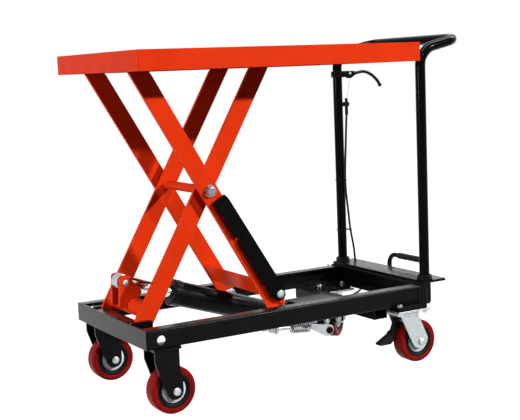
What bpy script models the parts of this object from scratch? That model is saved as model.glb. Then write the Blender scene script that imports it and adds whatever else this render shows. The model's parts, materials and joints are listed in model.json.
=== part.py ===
"""Hand-pumped scissor lift table, shown raised.

Metres, +Z up. X runs from the platform's free end to the push handle, Y across the cart, and the
near side is -Y. Sizes are given from the middle of the platform, on the floor, and one root empty
then puts the middle of the whole cart over the world origin.
"""
from math import cos, pi, radians, sin, tan

import bmesh
import bpy
from mathutils import Matrix, Quaternion, Vector

for old_object in list(bpy.data.objects):
    bpy.data.objects.remove(old_object, do_unlink=True)

# Clearances
FIT_GAP = 0.0003
SIDE_GAP = 0.0015
ROLLER_HEADROOM = 0.0008
WELD_OVERLAP = 0.001
ROUND_SHARE = 0.95

# Platform
PLATFORM_LENGTH = 0.700
PLATFORM_WIDTH = 0.450
SKIRT_DEPTH = 0.0425
SHEET = 0.0025
SKIRT_CORNER = 0.003

# Scissor
ARM_SPAN = 0.6654
ARM_DEPTH = 0.041
ARM_THICK = 0.008
ARM_END_CUT = 0.010
ARM_GAP = 0.018
INNER_ARM_Y = 0.087
RAISED_ANGLE = radians(59.82)
LOWERED_ANGLE = radians(11.08)
NOSE_RELIEF = 0.002
PIVOT_INSET = 0.031
PIN_R = 0.007
TOP_ROLLER_R = 0.0125
TOP_ROLLER_WIDTH = 0.013
CENTRE_TUBE_R = 0.010
CENTRE_NUT_R = 0.0135
CENTRE_NUT_WIDTH = 0.010
LUG_THICK = 0.010
LUG_REACH = 0.0235
LUG_ROUND = 0.006
LUG_Y = 0.100
LUG_HALF = 0.0165
LUG_DROP = 0.0188
TOE_ROUND = 0.004
NOSE_UNDERCUT = 0.005
PIN_PROUD = 0.003

# Chassis
RAIL_Z = 0.1465
RAIL_WALL = 0.0042
RAIL_FLANGE = 0.030
RAIL_OUTER_Y = 0.1887
RAIL_ROUND = 0.004
RAIL_HOLE_R = 0.010
RAIL_HOLE_LEAD = 0.0049
RAIL_HOLE_DROP = 0.0024
BASE_ROLLER_R = 0.016
BASE_ROLLER_WIDTH = 0.023
ROLLER_INSET = 0.001
FRONT_SETBACK = 0.030
FRONT_WEB = 0.005
FRONT_FLANGE = 0.030
BEAM_CLEARANCE = 0.017
BEAM_LENGTH = 0.0285
BEAM_WALL = 0.004
BEAM_RISE = 0.0032
BEAM_DROP = 0.005
BEAM_ROUND = 0.008
DECK_THICK = 0.006
DECK_LENGTH = 0.0665
DECK_SETBACK = 0.0065

# Push handle, release lever and cable
TUBE_R = 0.0125
POST_SETBACK = 0.0246
POST_INSET = 0.0187
COLLAR_R = 0.018
COLLAR_HEIGHT = 0.017
POST_HEIGHT = 0.5487
HANDLE_LEAN = 0.0244
HANDLE_REACH = 0.089
HANDLE_RISE = 0.0194
HANDLE_BEND = 0.045
BAR_BEND = 0.032
CLAMP_R = 0.0165
CLAMP_Z = 0.682
CLAMP_HEIGHT = 0.016
LEVER_INSET = 0.012
LEVER_SETBACK = 0.0264
LEVER_PIN_RISE = 0.010
LEVER_PIN_PROUD = 0.001
LEVER_ROUND = 0.002
LEVER_TAIL = 0.003
LEVER_NECK = 0.004
LEVER_LAP = 0.008
LEVER_STEP = 0.010
LEVER_THICK = 0.004
LEVER_ROD_R = 0.003
LEVER_EYE_R = 0.0065
LEVER_PIN_R = 0.0025
BALL_R = 0.005
LEVER_POINTS = ((0.023, -0.0004), (0.049, 0.0026), (0.071, -0.0047), (0.0905, -0.0198), (0.1009, -0.034))
CABLE_R = 0.0028
CABLE_STEP = 0.016
WIRE_R = 0.001
ADJUSTER_Z = 0.607
ADJUSTER_HEIGHT = 0.011
CABLE_INSET = 0.018
CABLE_HOLE_SETBACK = 0.0294
CABLE_HOLE_Y = 0.155
ADJUSTER_OFFSET = 0.0134
ADJUSTER_WALL = 0.0055
ADJUSTER_LAP = 0.004
ADJUSTER_TAIL = 0.010
CABLE_LAP = 0.002
CABLE_DROP = ((0.0084, 0.519), (0.0029, 0.4145), (0.0094, 0.333), (0.0149, 0.283), (0.0234, 0.237))
CABLE_UNDER = ((0.0294, 0.153, 0.1795), (0.0244, 0.135, 0.150), (0.0104, 0.106, 0.1335),
               (-0.0316, 0.066, 0.133), (-0.0716, 0.043, 0.133), (-0.1036, 0.032, 0.133))
CABLE_END = (0.032, 0.133)
BRACKET_WIDTH = 0.012
BRACKET_NOSE = 0.0135
BRACKET_ROUND = 0.004
LEVER_ARM = (0.005, -0.013)

# Casters
WHEEL_R = 0.051
WHEEL_WIDTH = 0.034
HUB_R = 0.014
HUB_PROUD = 0.0055
CORE_R = 0.039
CORE_RECESS = 0.003
TREAD_EASE = 0.003
WHEEL_STEPS = 28
AXLE_R = 0.005
AXLE_HEAD_R = 0.0085
AXLE_HEAD = 0.005
FORK_THICK = 0.004
FRONT_AXLE_INSET = 0.0642
FRONT_WHEEL_Y = 0.161
FRONT_PLATE_THICK = 0.0057
FRONT_PLATE_LENGTH = 0.063
FRONT_PLATE_WIDTH = 0.057
FRONT_PLATE_LEAD = 0.0472
FRONT_LEG = ((-0.0457, 0.090, 0), (-0.0457, 0.066, 0.010), (-0.030, 0.020, 0), (-0.014, -0.017, 0.014),
             (0.0165, -0.017, 0.0165), (0.0165, 0.020, 0.010), (0.0105, 0.055, 0.020), (0.0105, 0.090, 0))
KINGPIN_INSET = 0.035
KINGPIN_Y = 0.1535
KINGPIN_R = 0.006
KINGPIN_PROUD = 0.004
CASTER_TRAIL = 0.037
FAR_CASTER_TURN = radians(40)
PAD_THICK = 0.0092
PAD_LENGTH = 0.080
PAD_OVERHANG = 0.0168
PAD_STEP = 0.0012
PLATE_LENGTH = 0.092
PLATE_WIDTH = 0.104
PLATE_THICK = 0.006
RACE_R = 0.026
RACE_HEIGHT = 0.006
CROWN_THICK = 0.006
BRAKE_PIN_R = 0.003
BRAKE_X = -0.002
BRAKE_Z = 0.103
BRAKE_OUTLINE = ((0.007, 0.007, 0.003), (-0.007, 0.007, 0.003), (-0.020, -0.024, 0), (-0.029, -0.033, 0.003),
                 (-0.060, -0.049, 0.002), (-0.059, -0.054, 0.002), (-0.028, -0.054, 0), (-0.016, -0.045, 0),
                 (-0.010, -0.019, 0.003), (0.007, -0.006, 0.003))
CROWN_BACK = 0.0225
CROWN_FRONT = 0.031
REAR_EYE = ((-0.033, 0.014, 0.010), (-0.018, -0.0145, 0.020),
            (0.0195, -0.0145, 0.020), (0.0195, 0.009, 0.015))
LEG_ROUND = 0.004
LEG_FRONT_DROP = 0.004

# Ram and pump
RAM_BASE_LEAD = 0.050
RAM_BASE_Z = 0.128
CRANK_RISE = 0.0947
CRANK_PIN_R = 0.0065
CRANK_THICK = 0.008
CRANK_Y = 0.017
CRANK_LEAD = 0.001
CRANK_FRONT = 0.012
CRANK_BACK = 0.007
CRANK_HEEL = 0.0155
CRANK_ROUND = 0.006
CRANK_SHOULDER = (0.0171, 0.0304)
CROSS_TUBE_R = 0.019
CROSS_TUBE_OFFSET = (0.023, 0.0395)
BARREL_R = 0.028
BARREL_START = 0.045
BARREL_LENGTH = 0.250
GLAND_R = 0.030
GLAND_LENGTH = 0.022
ROD_R = 0.014
ROD_INSIDE = 0.150
EYE_R = 0.020
EYE_HOLE_R = 0.0132
EYE_WIDTH = 0.028
EYE_LAP = 0.004
RAM_PIN_R = 0.006
RAM_FOOT_R = 0.016
RAM_FOOT_WIDTH = 0.044
RAM_NECK_R = 0.0128
RAM_PIN_PROUD = 0.004
PUMP_SETBACK = 0.237
PUMP_LENGTH = 0.1097
PUMP_HALF_WIDTH = 0.045
PUMP_Z = 0.097
PUMP_HEIGHT = 0.053
PUMP_EAR = 0.008
CLEVIS_Y = 0.024
CLEVIS_WALL = 0.002
PEDAL_EAR_Y = 0.033
PEDAL_EAR_WALL = 0.006
BARREL_WALL = 0.012
CHANNEL_LENGTH = 0.038
CHANNEL_DEPTH = 0.026
CHANNEL_WALL = 0.004
CHANNEL_HALF_WIDTH = 0.170

# Foot pedal
PEDAL_OFFSET = 0.053
PEDAL_Z = 0.0864
PEDAL_SHAFT_R = 0.008
PEDAL_ROD_R = 0.006
PEDAL_ROD_Y = 0.049
SLEEVE_R = 0.0078
SLEEVE_LENGTH = 0.100
LINK_Y = -0.066
LINK_THICK = 0.004
LINK_EYE_WALL = 0.004
SHAFT_NEAR_END = 0.006
SHAFT_FAR_END = 0.009
SPRING_R = 0.0095
SPRING_WIRE_R = 0.0011
SPRING_TURNS = 8
POINTS_PER_TURN = 8
SPRING_LENGTH = 0.058
ANCHOR_LEAD = 0.100
ANCHOR_Z = 0.112
ANCHOR_PLATE = 0.004
ANCHOR_BOLT_R = 0.004
ANCHOR_BOLT_BACK = 0.032
ANCHOR_NUT_R = 0.0085
ANCHOR_NUT_WIDTH = 0.006
ANCHOR_TAB_WALL = 0.002
STRAP_DEPTH = 0.017
STRAP_LAP = 0.030
LINK_REACH = 0.052
LINK_RISE = 0.0167
LINK_HEIGHT = 0.012
PEDAL_REACH = 0.100
PEDAL_POST_Y = 0.066
PEDAL_TOP_Z = 0.2215
PEDAL_BEND = 0.016
SLEEVE_Y = 0.025
SLEEVE_END = 0.004
PEDAL_SLOPE = (0.036, 0.0166)
PEDAL_HEEL = 0.040

# Cross plate and maintenance prop, set out along the near outer arm
CROSS_PLATE_THICK = 0.006
CROSS_PLATE_FROM = 0.060
CROSS_PLATE_LENGTH = 0.044
CROSS_PLATE_INSET = 0.002
PROP_THICK = 0.005
PROP_FROM = 0.0235
PROP_BOLT_ALONG = 0.2932
PROP_BOLT_UP = 0.0154
PROP_BOLT_R = 0.005
PROP_LUG_THICK = 0.0062
PROP_LUG = ((0.2585, -0.0053, 0), (0.3151, 0.0082, 0.003), (0.3236, 0.0153, 0.002), (0.3093, 0.0229, 0.003),
            (0.280, 0.030, 0.004), (0.262, 0.022, 0.004))
PROP_END = PROP_BOLT_ALONG + 0.0148
PROP_NOTCH = PROP_FROM + 0.0955
PROP_OUTLINE = ((PROP_FROM, -0.010, 0.003), (PROP_FROM, 0.0216, 0), (PROP_FROM + 0.014, 0.0253, 0),
                (PROP_END - 0.026, 0.032, 0.006), (PROP_END, 0.027, 0.010), (PROP_END, 0.004, 0.010),
                (PROP_END - 0.023, -0.006, 0.004), (PROP_NOTCH + 0.014, -0.006, 0),
                (PROP_NOTCH + 0.012, -0.002, 0), (PROP_NOTCH + 0.002, -0.002, 0), (PROP_NOTCH, -0.008, 0))
PROP_HOLE_SETBACK = 0.102
PROP_HOLE_R = 0.004
PROP_HOLE_UP = 0.004
PROP_HEAD = 0.005
PROP_HEAD_R = 0.009
CROSS_TAB_DROP = 0.016
CROSS_TAB_Y = 0.045
CROSS_TAB_WIDTH = 0.025
CROSS_TAB_HOLE_R = 0.004

# Places worked out from the sizes above
FRONT_X = -PLATFORM_LENGTH / 2
PIVOT_X = FRONT_X + PIVOT_INSET
PIVOT_Z = RAIL_Z + RAIL_WALL + FIT_GAP + BASE_ROLLER_R
RAIL_TOP = PIVOT_Z + BASE_ROLLER_R + ROLLER_HEADROOM + RAIL_WALL
RISE = ARM_SPAN * sin(RAISED_ANGLE)
RUN = ARM_SPAN * cos(RAISED_ANGLE)
ROLLER_X = PIVOT_X + RUN
TOP_Z = PIVOT_Z + RISE
SHEET_UNDER = TOP_Z + TOP_ROLLER_R + FIT_GAP
TABLE_Z = SHEET_UNDER + SHEET
CENTRE = Vector((PIVOT_X + RUN / 2, 0, PIVOT_Z + RISE / 2))
OUTER_ARM_Y = INNER_ARM_Y + ARM_THICK + ARM_GAP
OUTER_FACE_Y = OUTER_ARM_Y + ARM_THICK
CHASSIS_X = PIVOT_X - FRONT_SETBACK
REAR_X = PLATFORM_LENGTH / 2 + BEAM_CLEARANCE
BEAM_TOP = RAIL_TOP + BEAM_RISE
DECK_Z = BEAM_TOP + FIT_GAP
DECK_TOP = DECK_Z + DECK_THICK
POST_X = REAR_X + POST_SETBACK
POST_Y = RAIL_OUTER_Y - POST_INSET
BAR_X = POST_X + HANDLE_LEAN + HANDLE_REACH
POST_BEND_Z = DECK_TOP + POST_HEIGHT
BAR_Z = POST_BEND_Z + HANDLE_RISE
LEVER_Y = POST_Y - LEVER_INSET
LEVER_X = POST_X + LEVER_SETBACK
LEVER_Z = CLAMP_Z + LEVER_PIN_RISE
CABLE_Y = POST_Y - CABLE_INSET
PUMP_X = REAR_X - PUMP_SETBACK
PEDAL_X = PUMP_X + PEDAL_OFFSET
PEDAL_BACK_X = REAR_X + PEDAL_REACH
ANCHOR_X = PUMP_X - ANCHOR_LEAD
RAM_BASE_X = PUMP_X - RAM_BASE_LEAD
RAM_BASE = Vector((RAM_BASE_X, 0, RAM_BASE_Z))
CRANK = Vector((PIVOT_X + CRANK_LEAD, 0, PIVOT_Z + CRANK_RISE))
CHANNEL_TOP = RAIL_Z - FIT_GAP
CHANNEL_X = PUMP_X + PUMP_LENGTH + FIT_GAP
KINGPIN_X = REAR_X - KINGPIN_INSET
HUB_HALF = WHEEL_WIDTH / 2 + HUB_PROUD
FORK_INNER = HUB_HALF + SIDE_GAP
PAD_INNER_Y = RAIL_OUTER_Y + PAD_OVERHANG - PLATE_WIDTH
OVERALL_BACK = LEVER_X + LEVER_POINTS[-1][0] + BALL_R
CART_MIDDLE_X = (FRONT_X + OVERALL_BACK) / 2

NEAR = -1
FAR = 1
SIDES = (("near", NEAR), ("far", FAR))
SEGMENTS = 20
ARC_STEPS = 3

PARTS = bpy.data.collections.new("scissor_lift_table")
CUTTERS = bpy.data.collections.new("cutters")
for collection in (PARTS, CUTTERS):
    bpy.context.scene.collection.children.link(collection)


def finish(name, colour, roughness, metallic):
    """Make a Principled material with the part's plain colour."""
    material = bpy.data.materials.new(name)
    material.use_nodes = True
    shader = material.node_tree.nodes["Principled BSDF"]
    shader.inputs["Base Color"].default_value = (*colour, 1.0)
    shader.inputs["Roughness"].default_value = roughness
    shader.inputs["Metallic"].default_value = metallic
    return material


RED_PAINT = finish("red_paint", (0.80, 0.035, 0.010), 0.35, 0.0)
BLACK_PAINT = finish("black_paint", (0.010, 0.010, 0.010), 0.30, 0.0)
ZINC = finish("zinc_plate", (0.55, 0.57, 0.57), 0.35, 1.0)
CHROME = finish("chrome_rod", (0.75, 0.75, 0.76), 0.12, 1.0)
TYRE_RED = finish("red_polyurethane", (0.42, 0.012, 0.010), 0.40, 0.0)
BLACK_RUBBER = finish("black_rubber", (0.015, 0.015, 0.015), 0.60, 0.0)

ROOT = bpy.data.objects.new("cart_root", None)
ROOT.location = (-CART_MIDDLE_X, 0, 0)
PARTS.objects.link(ROOT)
DATUM = {ROOT.name: Vector((0, 0, 0))}


def joint_frame(name, pivot, parent=ROOT, turn=None):
    """Add an empty on a joint's axis. A turned frame's pieces are given from the frame itself."""
    empty = bpy.data.objects.new(name, None)
    empty.parent = parent
    empty.location = Vector(pivot) - DATUM[parent.name]
    PARTS.objects.link(empty)
    DATUM[name] = Vector(pivot)
    if turn is not None:
        empty.rotation_euler = (0, 0, turn)
        DATUM[name] = Vector((0, 0, 0))
    return empty


def add(name, mesh, parent, place, material=None, rotation=None):
    """Link a mesh as a named object, at a place given in its parent's datum."""
    piece = bpy.data.objects.new(name, mesh)
    piece.parent = parent
    piece.location = Vector(place) - DATUM[parent.name]
    if rotation is not None:
        piece.rotation_mode = "QUATERNION"
        piece.rotation_quaternion = rotation
    if material is not None:
        mesh.materials.append(material)
    PARTS.objects.link(piece)
    return piece


def box(name, low, high, parent=ROOT, material=None):
    """A box between two corners."""
    low, high = Vector(low), Vector(high)
    mesh = bpy.data.meshes.new(name)
    shape = bmesh.new()
    bmesh.ops.create_cube(shape, size=1.0)
    bmesh.ops.scale(shape, vec=high - low, verts=shape.verts)
    shape.to_mesh(mesh)
    shape.free()
    return add(name, mesh, parent, (low + high) / 2, material)


def rod(name, start, end, radius, parent=ROOT, material=None, segments=SEGMENTS):
    """A round bar between two points."""
    start, end = Vector(start), Vector(end)
    mesh = bpy.data.meshes.new(name)
    shape = bmesh.new()
    bmesh.ops.create_cone(shape, cap_ends=True, segments=segments, radius1=radius, radius2=radius,
                          depth=(end - start).length)
    shape.to_mesh(mesh)
    shape.free()
    mesh.shade_smooth()
    mesh.set_sharp_from_angle(angle=radians(40))
    turn = Vector((0, 0, 1)).rotation_difference(end - start)
    return add(name, mesh, parent, (start + end) / 2, material, turn)


def ball(name, centre, radius, parent=ROOT, material=None):
    """A round knob."""
    mesh = bpy.data.meshes.new(name)
    shape = bmesh.new()
    bmesh.ops.create_uvsphere(shape, u_segments=12, v_segments=8, radius=radius)
    shape.to_mesh(mesh)
    shape.free()
    mesh.shade_smooth()
    return add(name, mesh, parent, centre, material)


def curve_mesh(name, curve):
    """Turn a curve into one closed mesh."""
    guide = bpy.data.objects.new(name + "_guide", curve)
    CUTTERS.objects.link(guide)
    bpy.context.view_layer.update()
    graph = bpy.context.evaluated_depsgraph_get()
    mesh = bpy.data.meshes.new_from_object(guide.evaluated_get(graph))
    bpy.data.objects.remove(guide, do_unlink=True)
    mesh.name = name
    shape = bmesh.new()
    shape.from_mesh(mesh)
    bmesh.ops.remove_doubles(shape, verts=shape.verts, dist=0.000001)
    bmesh.ops.recalc_face_normals(shape, faces=shape.faces)
    shape.to_mesh(mesh)
    shape.free()
    mesh.materials.clear()
    return mesh


def rounded(corners):
    """Fillet an outline: corners are (u, v) or (u, v, radius)."""
    points = []
    count = len(corners)
    for index, corner in enumerate(corners):
        here = Vector(corner[:2])
        radius = corner[2] if len(corner) > 2 else 0.0
        before = (Vector(corners[index - 1][:2]) - here).normalized()
        after = (Vector(corners[(index + 1) % count][:2]) - here).normalized()
        if radius == 0.0:
            points.append(here)
            continue
        half = before.angle(after) / 2
        middle = here + (before + after).normalized() * (radius / sin(half))
        first = here + before * (radius / tan(half)) - middle
        sweep = first.angle_signed(here + after * (radius / tan(half)) - middle)
        for step in range(ARC_STEPS + 1):
            angle = -sweep * step / ARC_STEPS
            spoke = Vector((first.x * cos(angle) - first.y * sin(angle),
                            first.x * sin(angle) + first.y * cos(angle)))
            points.append(middle + spoke)
    return points


PLANES = {
    "XZ": Matrix(((1, 0, 0), (0, 0, -1), (0, 1, 0))).to_quaternion(),
    "YZ": Matrix(((0, 0, 1), (1, 0, 0), (0, 1, 0))).to_quaternion(),
}
DEPTH_AXIS = {"XZ": Vector((0, 1, 0)), "YZ": Vector((1, 0, 0))}


def plate(name, corners, plane, low, high, parent=ROOT, material=None):
    """A flat outline given in a plane, thick from low to high across it."""
    curve = bpy.data.curves.new(name, "CURVE")
    curve.dimensions = "2D"
    curve.fill_mode = "BOTH"
    curve.extrude = (high - low) / 2
    outline = rounded(corners)
    spline = curve.splines.new("POLY")
    spline.points.add(len(outline) - 1)
    for point, place in zip(spline.points, outline):
        point.co = (place.x, place.y, 0, 1)
    spline.use_cyclic_u = True
    mesh = curve_mesh(name, curve)
    middle = DEPTH_AXIS[plane] * ((low + high) / 2)
    return add(name, mesh, parent, middle, material, PLANES[plane])


def bent_path(corners, radius, steps=4):
    """Points along straight runs in space whose inner corners are rounded."""
    points = [Vector(corners[0])]
    for before, here, after in zip(corners, corners[1:], corners[2:]):
        here = Vector(here)
        back = (Vector(before) - here).normalized()
        ahead = (Vector(after) - here).normalized()
        half = back.angle(ahead) / 2
        reach = radius / tan(half)
        middle = here + (back + ahead).normalized() * (radius / sin(half))
        first = here + back * reach - middle
        last = here + ahead * reach - middle
        turn = first.rotation_difference(last)
        for step in range(steps + 1):
            spoke = first.copy()
            spoke.rotate(Quaternion().slerp(turn, step / steps))
            points.append(middle + spoke)
    points.append(Vector(corners[-1]))
    return points


def smooth_path(corners, spacing):
    """Points on a smooth curve through the corners, about a spacing apart."""
    nodes = [Vector(corner) for corner in corners]
    nodes = [2 * nodes[0] - nodes[1]] + nodes + [2 * nodes[-1] - nodes[-2]]
    points = []
    for a, b, c, d in zip(nodes, nodes[1:], nodes[2:], nodes[3:]):
        count = max(1, round((c - b).length / spacing))
        for step in range(count):
            t = step / count
            points.append(0.5 * (2 * b + (c - a) * t + (2 * a - 5 * b + 4 * c - d) * t ** 2
                                 + (3 * b - a - 3 * c + d) * t ** 3))
    points.append(nodes[-2])
    return points


def tube(name, points, radius, resolution, parent=ROOT, material=None):
    """A round tube or wire along points, with closed ends."""
    curve = bpy.data.curves.new(name, "CURVE")
    curve.dimensions = "3D"
    curve.bevel_depth = radius
    curve.bevel_resolution = resolution
    curve.use_fill_caps = True
    spline = curve.splines.new("POLY")
    spline.points.add(len(points) - 1)
    for point, place in zip(spline.points, points):
        point.co = (*place, 1)
    mesh = curve_mesh(name, curve)
    mesh.shade_smooth()
    mesh.set_sharp_from_angle(angle=radians(50))
    return add(name, mesh, parent, (0, 0, 0), material)


def turned(name, profile, start, along, parent=ROOT, material=None, steps=SEGMENTS):
    """A turned ring or bar: profile points are (radius, distance along), down the outer side,
    as a ring, or from the axis back to the axis."""
    mesh = bpy.data.meshes.new(name)
    shape = bmesh.new()
    corners = [shape.verts.new((radius, 0, place)) for radius, place in profile]
    ring = corners + corners[:1] if profile[0][0] > 0 else corners
    for first, second in zip(ring, ring[1:]):
        shape.edges.new((first, second))
    shape.to_mesh(mesh)
    shape.free()
    turn = Vector((0, 0, 1)).rotation_difference(Vector(along))
    piece = add(name, mesh, parent, start, material, turn)
    screw = piece.modifiers.new("turn", "SCREW")
    screw.angle = 2 * pi
    screw.steps = steps
    screw.render_steps = steps
    screw.use_merge_vertices = True
    screw.merge_threshold = 0.00001
    screw.use_smooth_shade = False
    poles = piece.modifiers.new("poles", "WELD")
    poles.merge_threshold = 0.00001
    return piece


def combine(target, operation, tools):
    """Cut tools from a piece, or weld them to it, with live Booleans."""
    for tool in tools:
        step = target.modifiers.new(tool.name, "BOOLEAN")
        step.operation = operation
        step.object = tool
        step.solver = "EXACT"
        PARTS.objects.unlink(tool)
        CUTTERS.objects.link(tool)
        tool.hide_render = True
        tool.display_type = "WIRE"
    return target


def cut(target, *tools):
    return combine(target, "DIFFERENCE", tools)


def weld(target, *tools):
    return combine(target, "UNION", tools)


def span(side, inner, outer):
    """Lowest and highest Y of something that lies between two distances from the middle."""
    return (inner, outer) if side == FAR else (-outer, -inner)


def arm_point(along, up, lean):
    """A point of an arm: along it from the crossing towards its foot, and up square to it."""
    return (CENTRE.x + lean * along * cos(RAISED_ANGLE) + lean * up * sin(RAISED_ANGLE),
            CENTRE.z - along * sin(RAISED_ANGLE) + up * cos(RAISED_ANGLE))


def arm_corners(lean):
    """Outline of one arm. Its foot is cut upright and level, and its nose tapers under the sheet."""
    half = ARM_DEPTH / 2
    end = ARM_SPAN / 2
    nose = TOP_ROLLER_R - NOSE_RELIEF
    cut_start = (half * sin(RAISED_ANGLE) - ARM_END_CUT) / cos(RAISED_ANGLE)
    toe = ARM_END_CUT * cos(RAISED_ANGLE) + half * sin(RAISED_ANGLE)
    toe_up = ARM_END_CUT * sin(RAISED_ANGLE) - half * cos(RAISED_ANGLE)
    heel = half * tan(RAISED_ANGLE / 2)
    taper = (half * cos(LOWERED_ANGLE) - nose) / sin(LOWERED_ANGLE)
    corners = ((end - cut_start, half, 0), (end + toe, toe_up, TOE_ROUND), (end + heel, -half, half),
               (cut_start - end, -half, 0), (-end - nose, -NOSE_UNDERCUT, TOE_ROUND),
               (-end - nose, nose, nose * ROUND_SHARE), (taper - end, half, 0))
    return [(*arm_point(along, up, lean), radius) for along, up, radius in corners]


def make_platform():
    """Pressed pan with a skirt all round, and the two lugs that the outer arms hang on."""
    table = joint_frame("table_axis", (PIVOT_X, 0, TOP_Z))
    half_length = PLATFORM_LENGTH / 2
    half_width = PLATFORM_WIDTH / 2
    pan = box("platform", (-half_length, -half_width, TABLE_Z - SKIRT_DEPTH),
              (half_length, half_width, TABLE_Z), table, RED_PAINT)
    shape = bmesh.new()
    shape.from_mesh(pan.data)
    floor = [face for face in shape.faces if face.normal.z < -0.5]
    bmesh.ops.delete(shape, geom=floor, context="FACES_ONLY")
    uprights = [edge for edge in shape.edges if abs(edge.verts[0].co.z - edge.verts[1].co.z) > SHEET]
    bmesh.ops.bevel(shape, geom=uprights, offset=SKIRT_CORNER, segments=3, affect="EDGES")
    shape.to_mesh(pan.data)
    shape.free()
    wall = pan.modifiers.new("sheet", "SOLIDIFY")
    wall.thickness = SHEET
    wall.offset = -1
    wall.use_even_offset = True
    for label, side in SIDES:
        low, high = span(side, OUTER_FACE_Y + SIDE_GAP, OUTER_FACE_Y + SIDE_GAP + LUG_THICK)
        top = SHEET_UNDER - FIT_GAP
        corners = ((PIVOT_X - LUG_REACH, top), (PIVOT_X + LUG_REACH, top),
                   (PIVOT_X + LUG_HALF, TOP_Z - LUG_DROP, LUG_ROUND),
                   (PIVOT_X - LUG_HALF, TOP_Z - LUG_DROP, LUG_ROUND))
        lug = plate("table_lug_" + label, corners, "XZ", low, high, table, RED_PAINT)
        pin = rod("table_pin_" + label, (PIVOT_X, side * (OUTER_ARM_Y - FIT_GAP), TOP_Z),
                  (PIVOT_X, side * (OUTER_FACE_Y + SIDE_GAP + LUG_THICK / 2), TOP_Z), PIN_R, table)
        weld(lug, pin)


def pivot_hole(name, x, z, y_low, y_high, parent):
    """A cutter for a pin's running hole."""
    return rod(name, (x, y_low - SIDE_GAP, z), (x, y_high + SIDE_GAP, z), PIN_R + FIT_GAP, parent)


def make_inner_arms():
    """Inner arm frame: two flat arms, the ram's crank and the shaft at the crossing."""
    frame = joint_frame("inner_arms_axis", (PIVOT_X, 0, PIVOT_Z))
    for label, side in SIDES:
        low, high = span(side, INNER_ARM_Y, INNER_ARM_Y + ARM_THICK)
        arm = plate("inner_arm_" + label, arm_corners(-1), "XZ", low, high, frame, RED_PAINT)
        for spot, x, z in (("foot", PIVOT_X, PIVOT_Z), ("middle", CENTRE.x, CENTRE.z),
                           ("nose", ROLLER_X, TOP_Z)):
            cut(arm, pivot_hole(f"inner_{spot}_hole_{label}", x, z, low, high, frame))
        outer_low, outer_high = span(side, CRANK_Y, CRANK_Y + CRANK_THICK)
        tube_x = PIVOT_X + CROSS_TUBE_OFFSET[0]
        tube_z = PIVOT_Z + CROSS_TUBE_OFFSET[1]
        reach = EYE_R - EYE_LAP
        corners = ((CRANK.x - CRANK_FRONT, CRANK.z + reach, CRANK_ROUND),
                   (CRANK.x + CRANK_BACK, CRANK.z + reach, CRANK_ROUND),
                   (tube_x + CRANK_SHOULDER[0], tube_z + CRANK_SHOULDER[1], CRANK_ROUND), (tube_x, tube_z),
                   (CRANK.x - CRANK_HEEL, tube_z, CRANK_ROUND))
        crank = plate("crank_plate_" + label, corners, "XZ", outer_low, outer_high, frame, RED_PAINT)
        cut(crank, rod("crank_tube_cut_" + label, (tube_x, outer_low - SIDE_GAP, tube_z),
                       (tube_x, outer_high + SIDE_GAP, tube_z), CROSS_TUBE_R + FIT_GAP, frame),
            rod("crank_pin_cut_" + label, (CRANK.x, outer_low - SIDE_GAP, CRANK.z),
                (CRANK.x, outer_high + SIDE_GAP, CRANK.z), CRANK_PIN_R + FIT_GAP, frame))
        nut_y = OUTER_FACE_Y + FIT_GAP
        turned("centre_nut_" + label,
               ((CENTRE_NUT_R, CENTRE_NUT_WIDTH), (CENTRE_NUT_R, 0), (PIN_R + FIT_GAP, 0),
                (PIN_R + FIT_GAP, CENTRE_NUT_WIDTH)),
               (CENTRE.x, side * nut_y, CENTRE.z), (0, side, 0), frame, ZINC)
    tube_y = INNER_ARM_Y - FIT_GAP
    rod("lower_cross_tube", (tube_x, -tube_y, tube_z), (tube_x, tube_y, tube_z), CROSS_TUBE_R,
        frame, RED_PAINT)
    pin_y = CRANK_Y + CRANK_THICK + PIN_PROUD
    rod("crank_pin", (CRANK.x, -pin_y, CRANK.z), (CRANK.x, pin_y, CRANK.z), CRANK_PIN_R, frame, ZINC)
    shaft = rod("centre_shaft", (CENTRE.x, -tube_y, CENTRE.z), (CENTRE.x, tube_y, CENTRE.z),
                CENTRE_TUBE_R, frame, RED_PAINT)
    end_y = OUTER_FACE_Y + CENTRE_NUT_WIDTH + PIN_PROUD
    weld(shaft, rod("centre_shaft_ends", (CENTRE.x, -end_y, CENTRE.z), (CENTRE.x, end_y, CENTRE.z),
                    PIN_R, frame))


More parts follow.
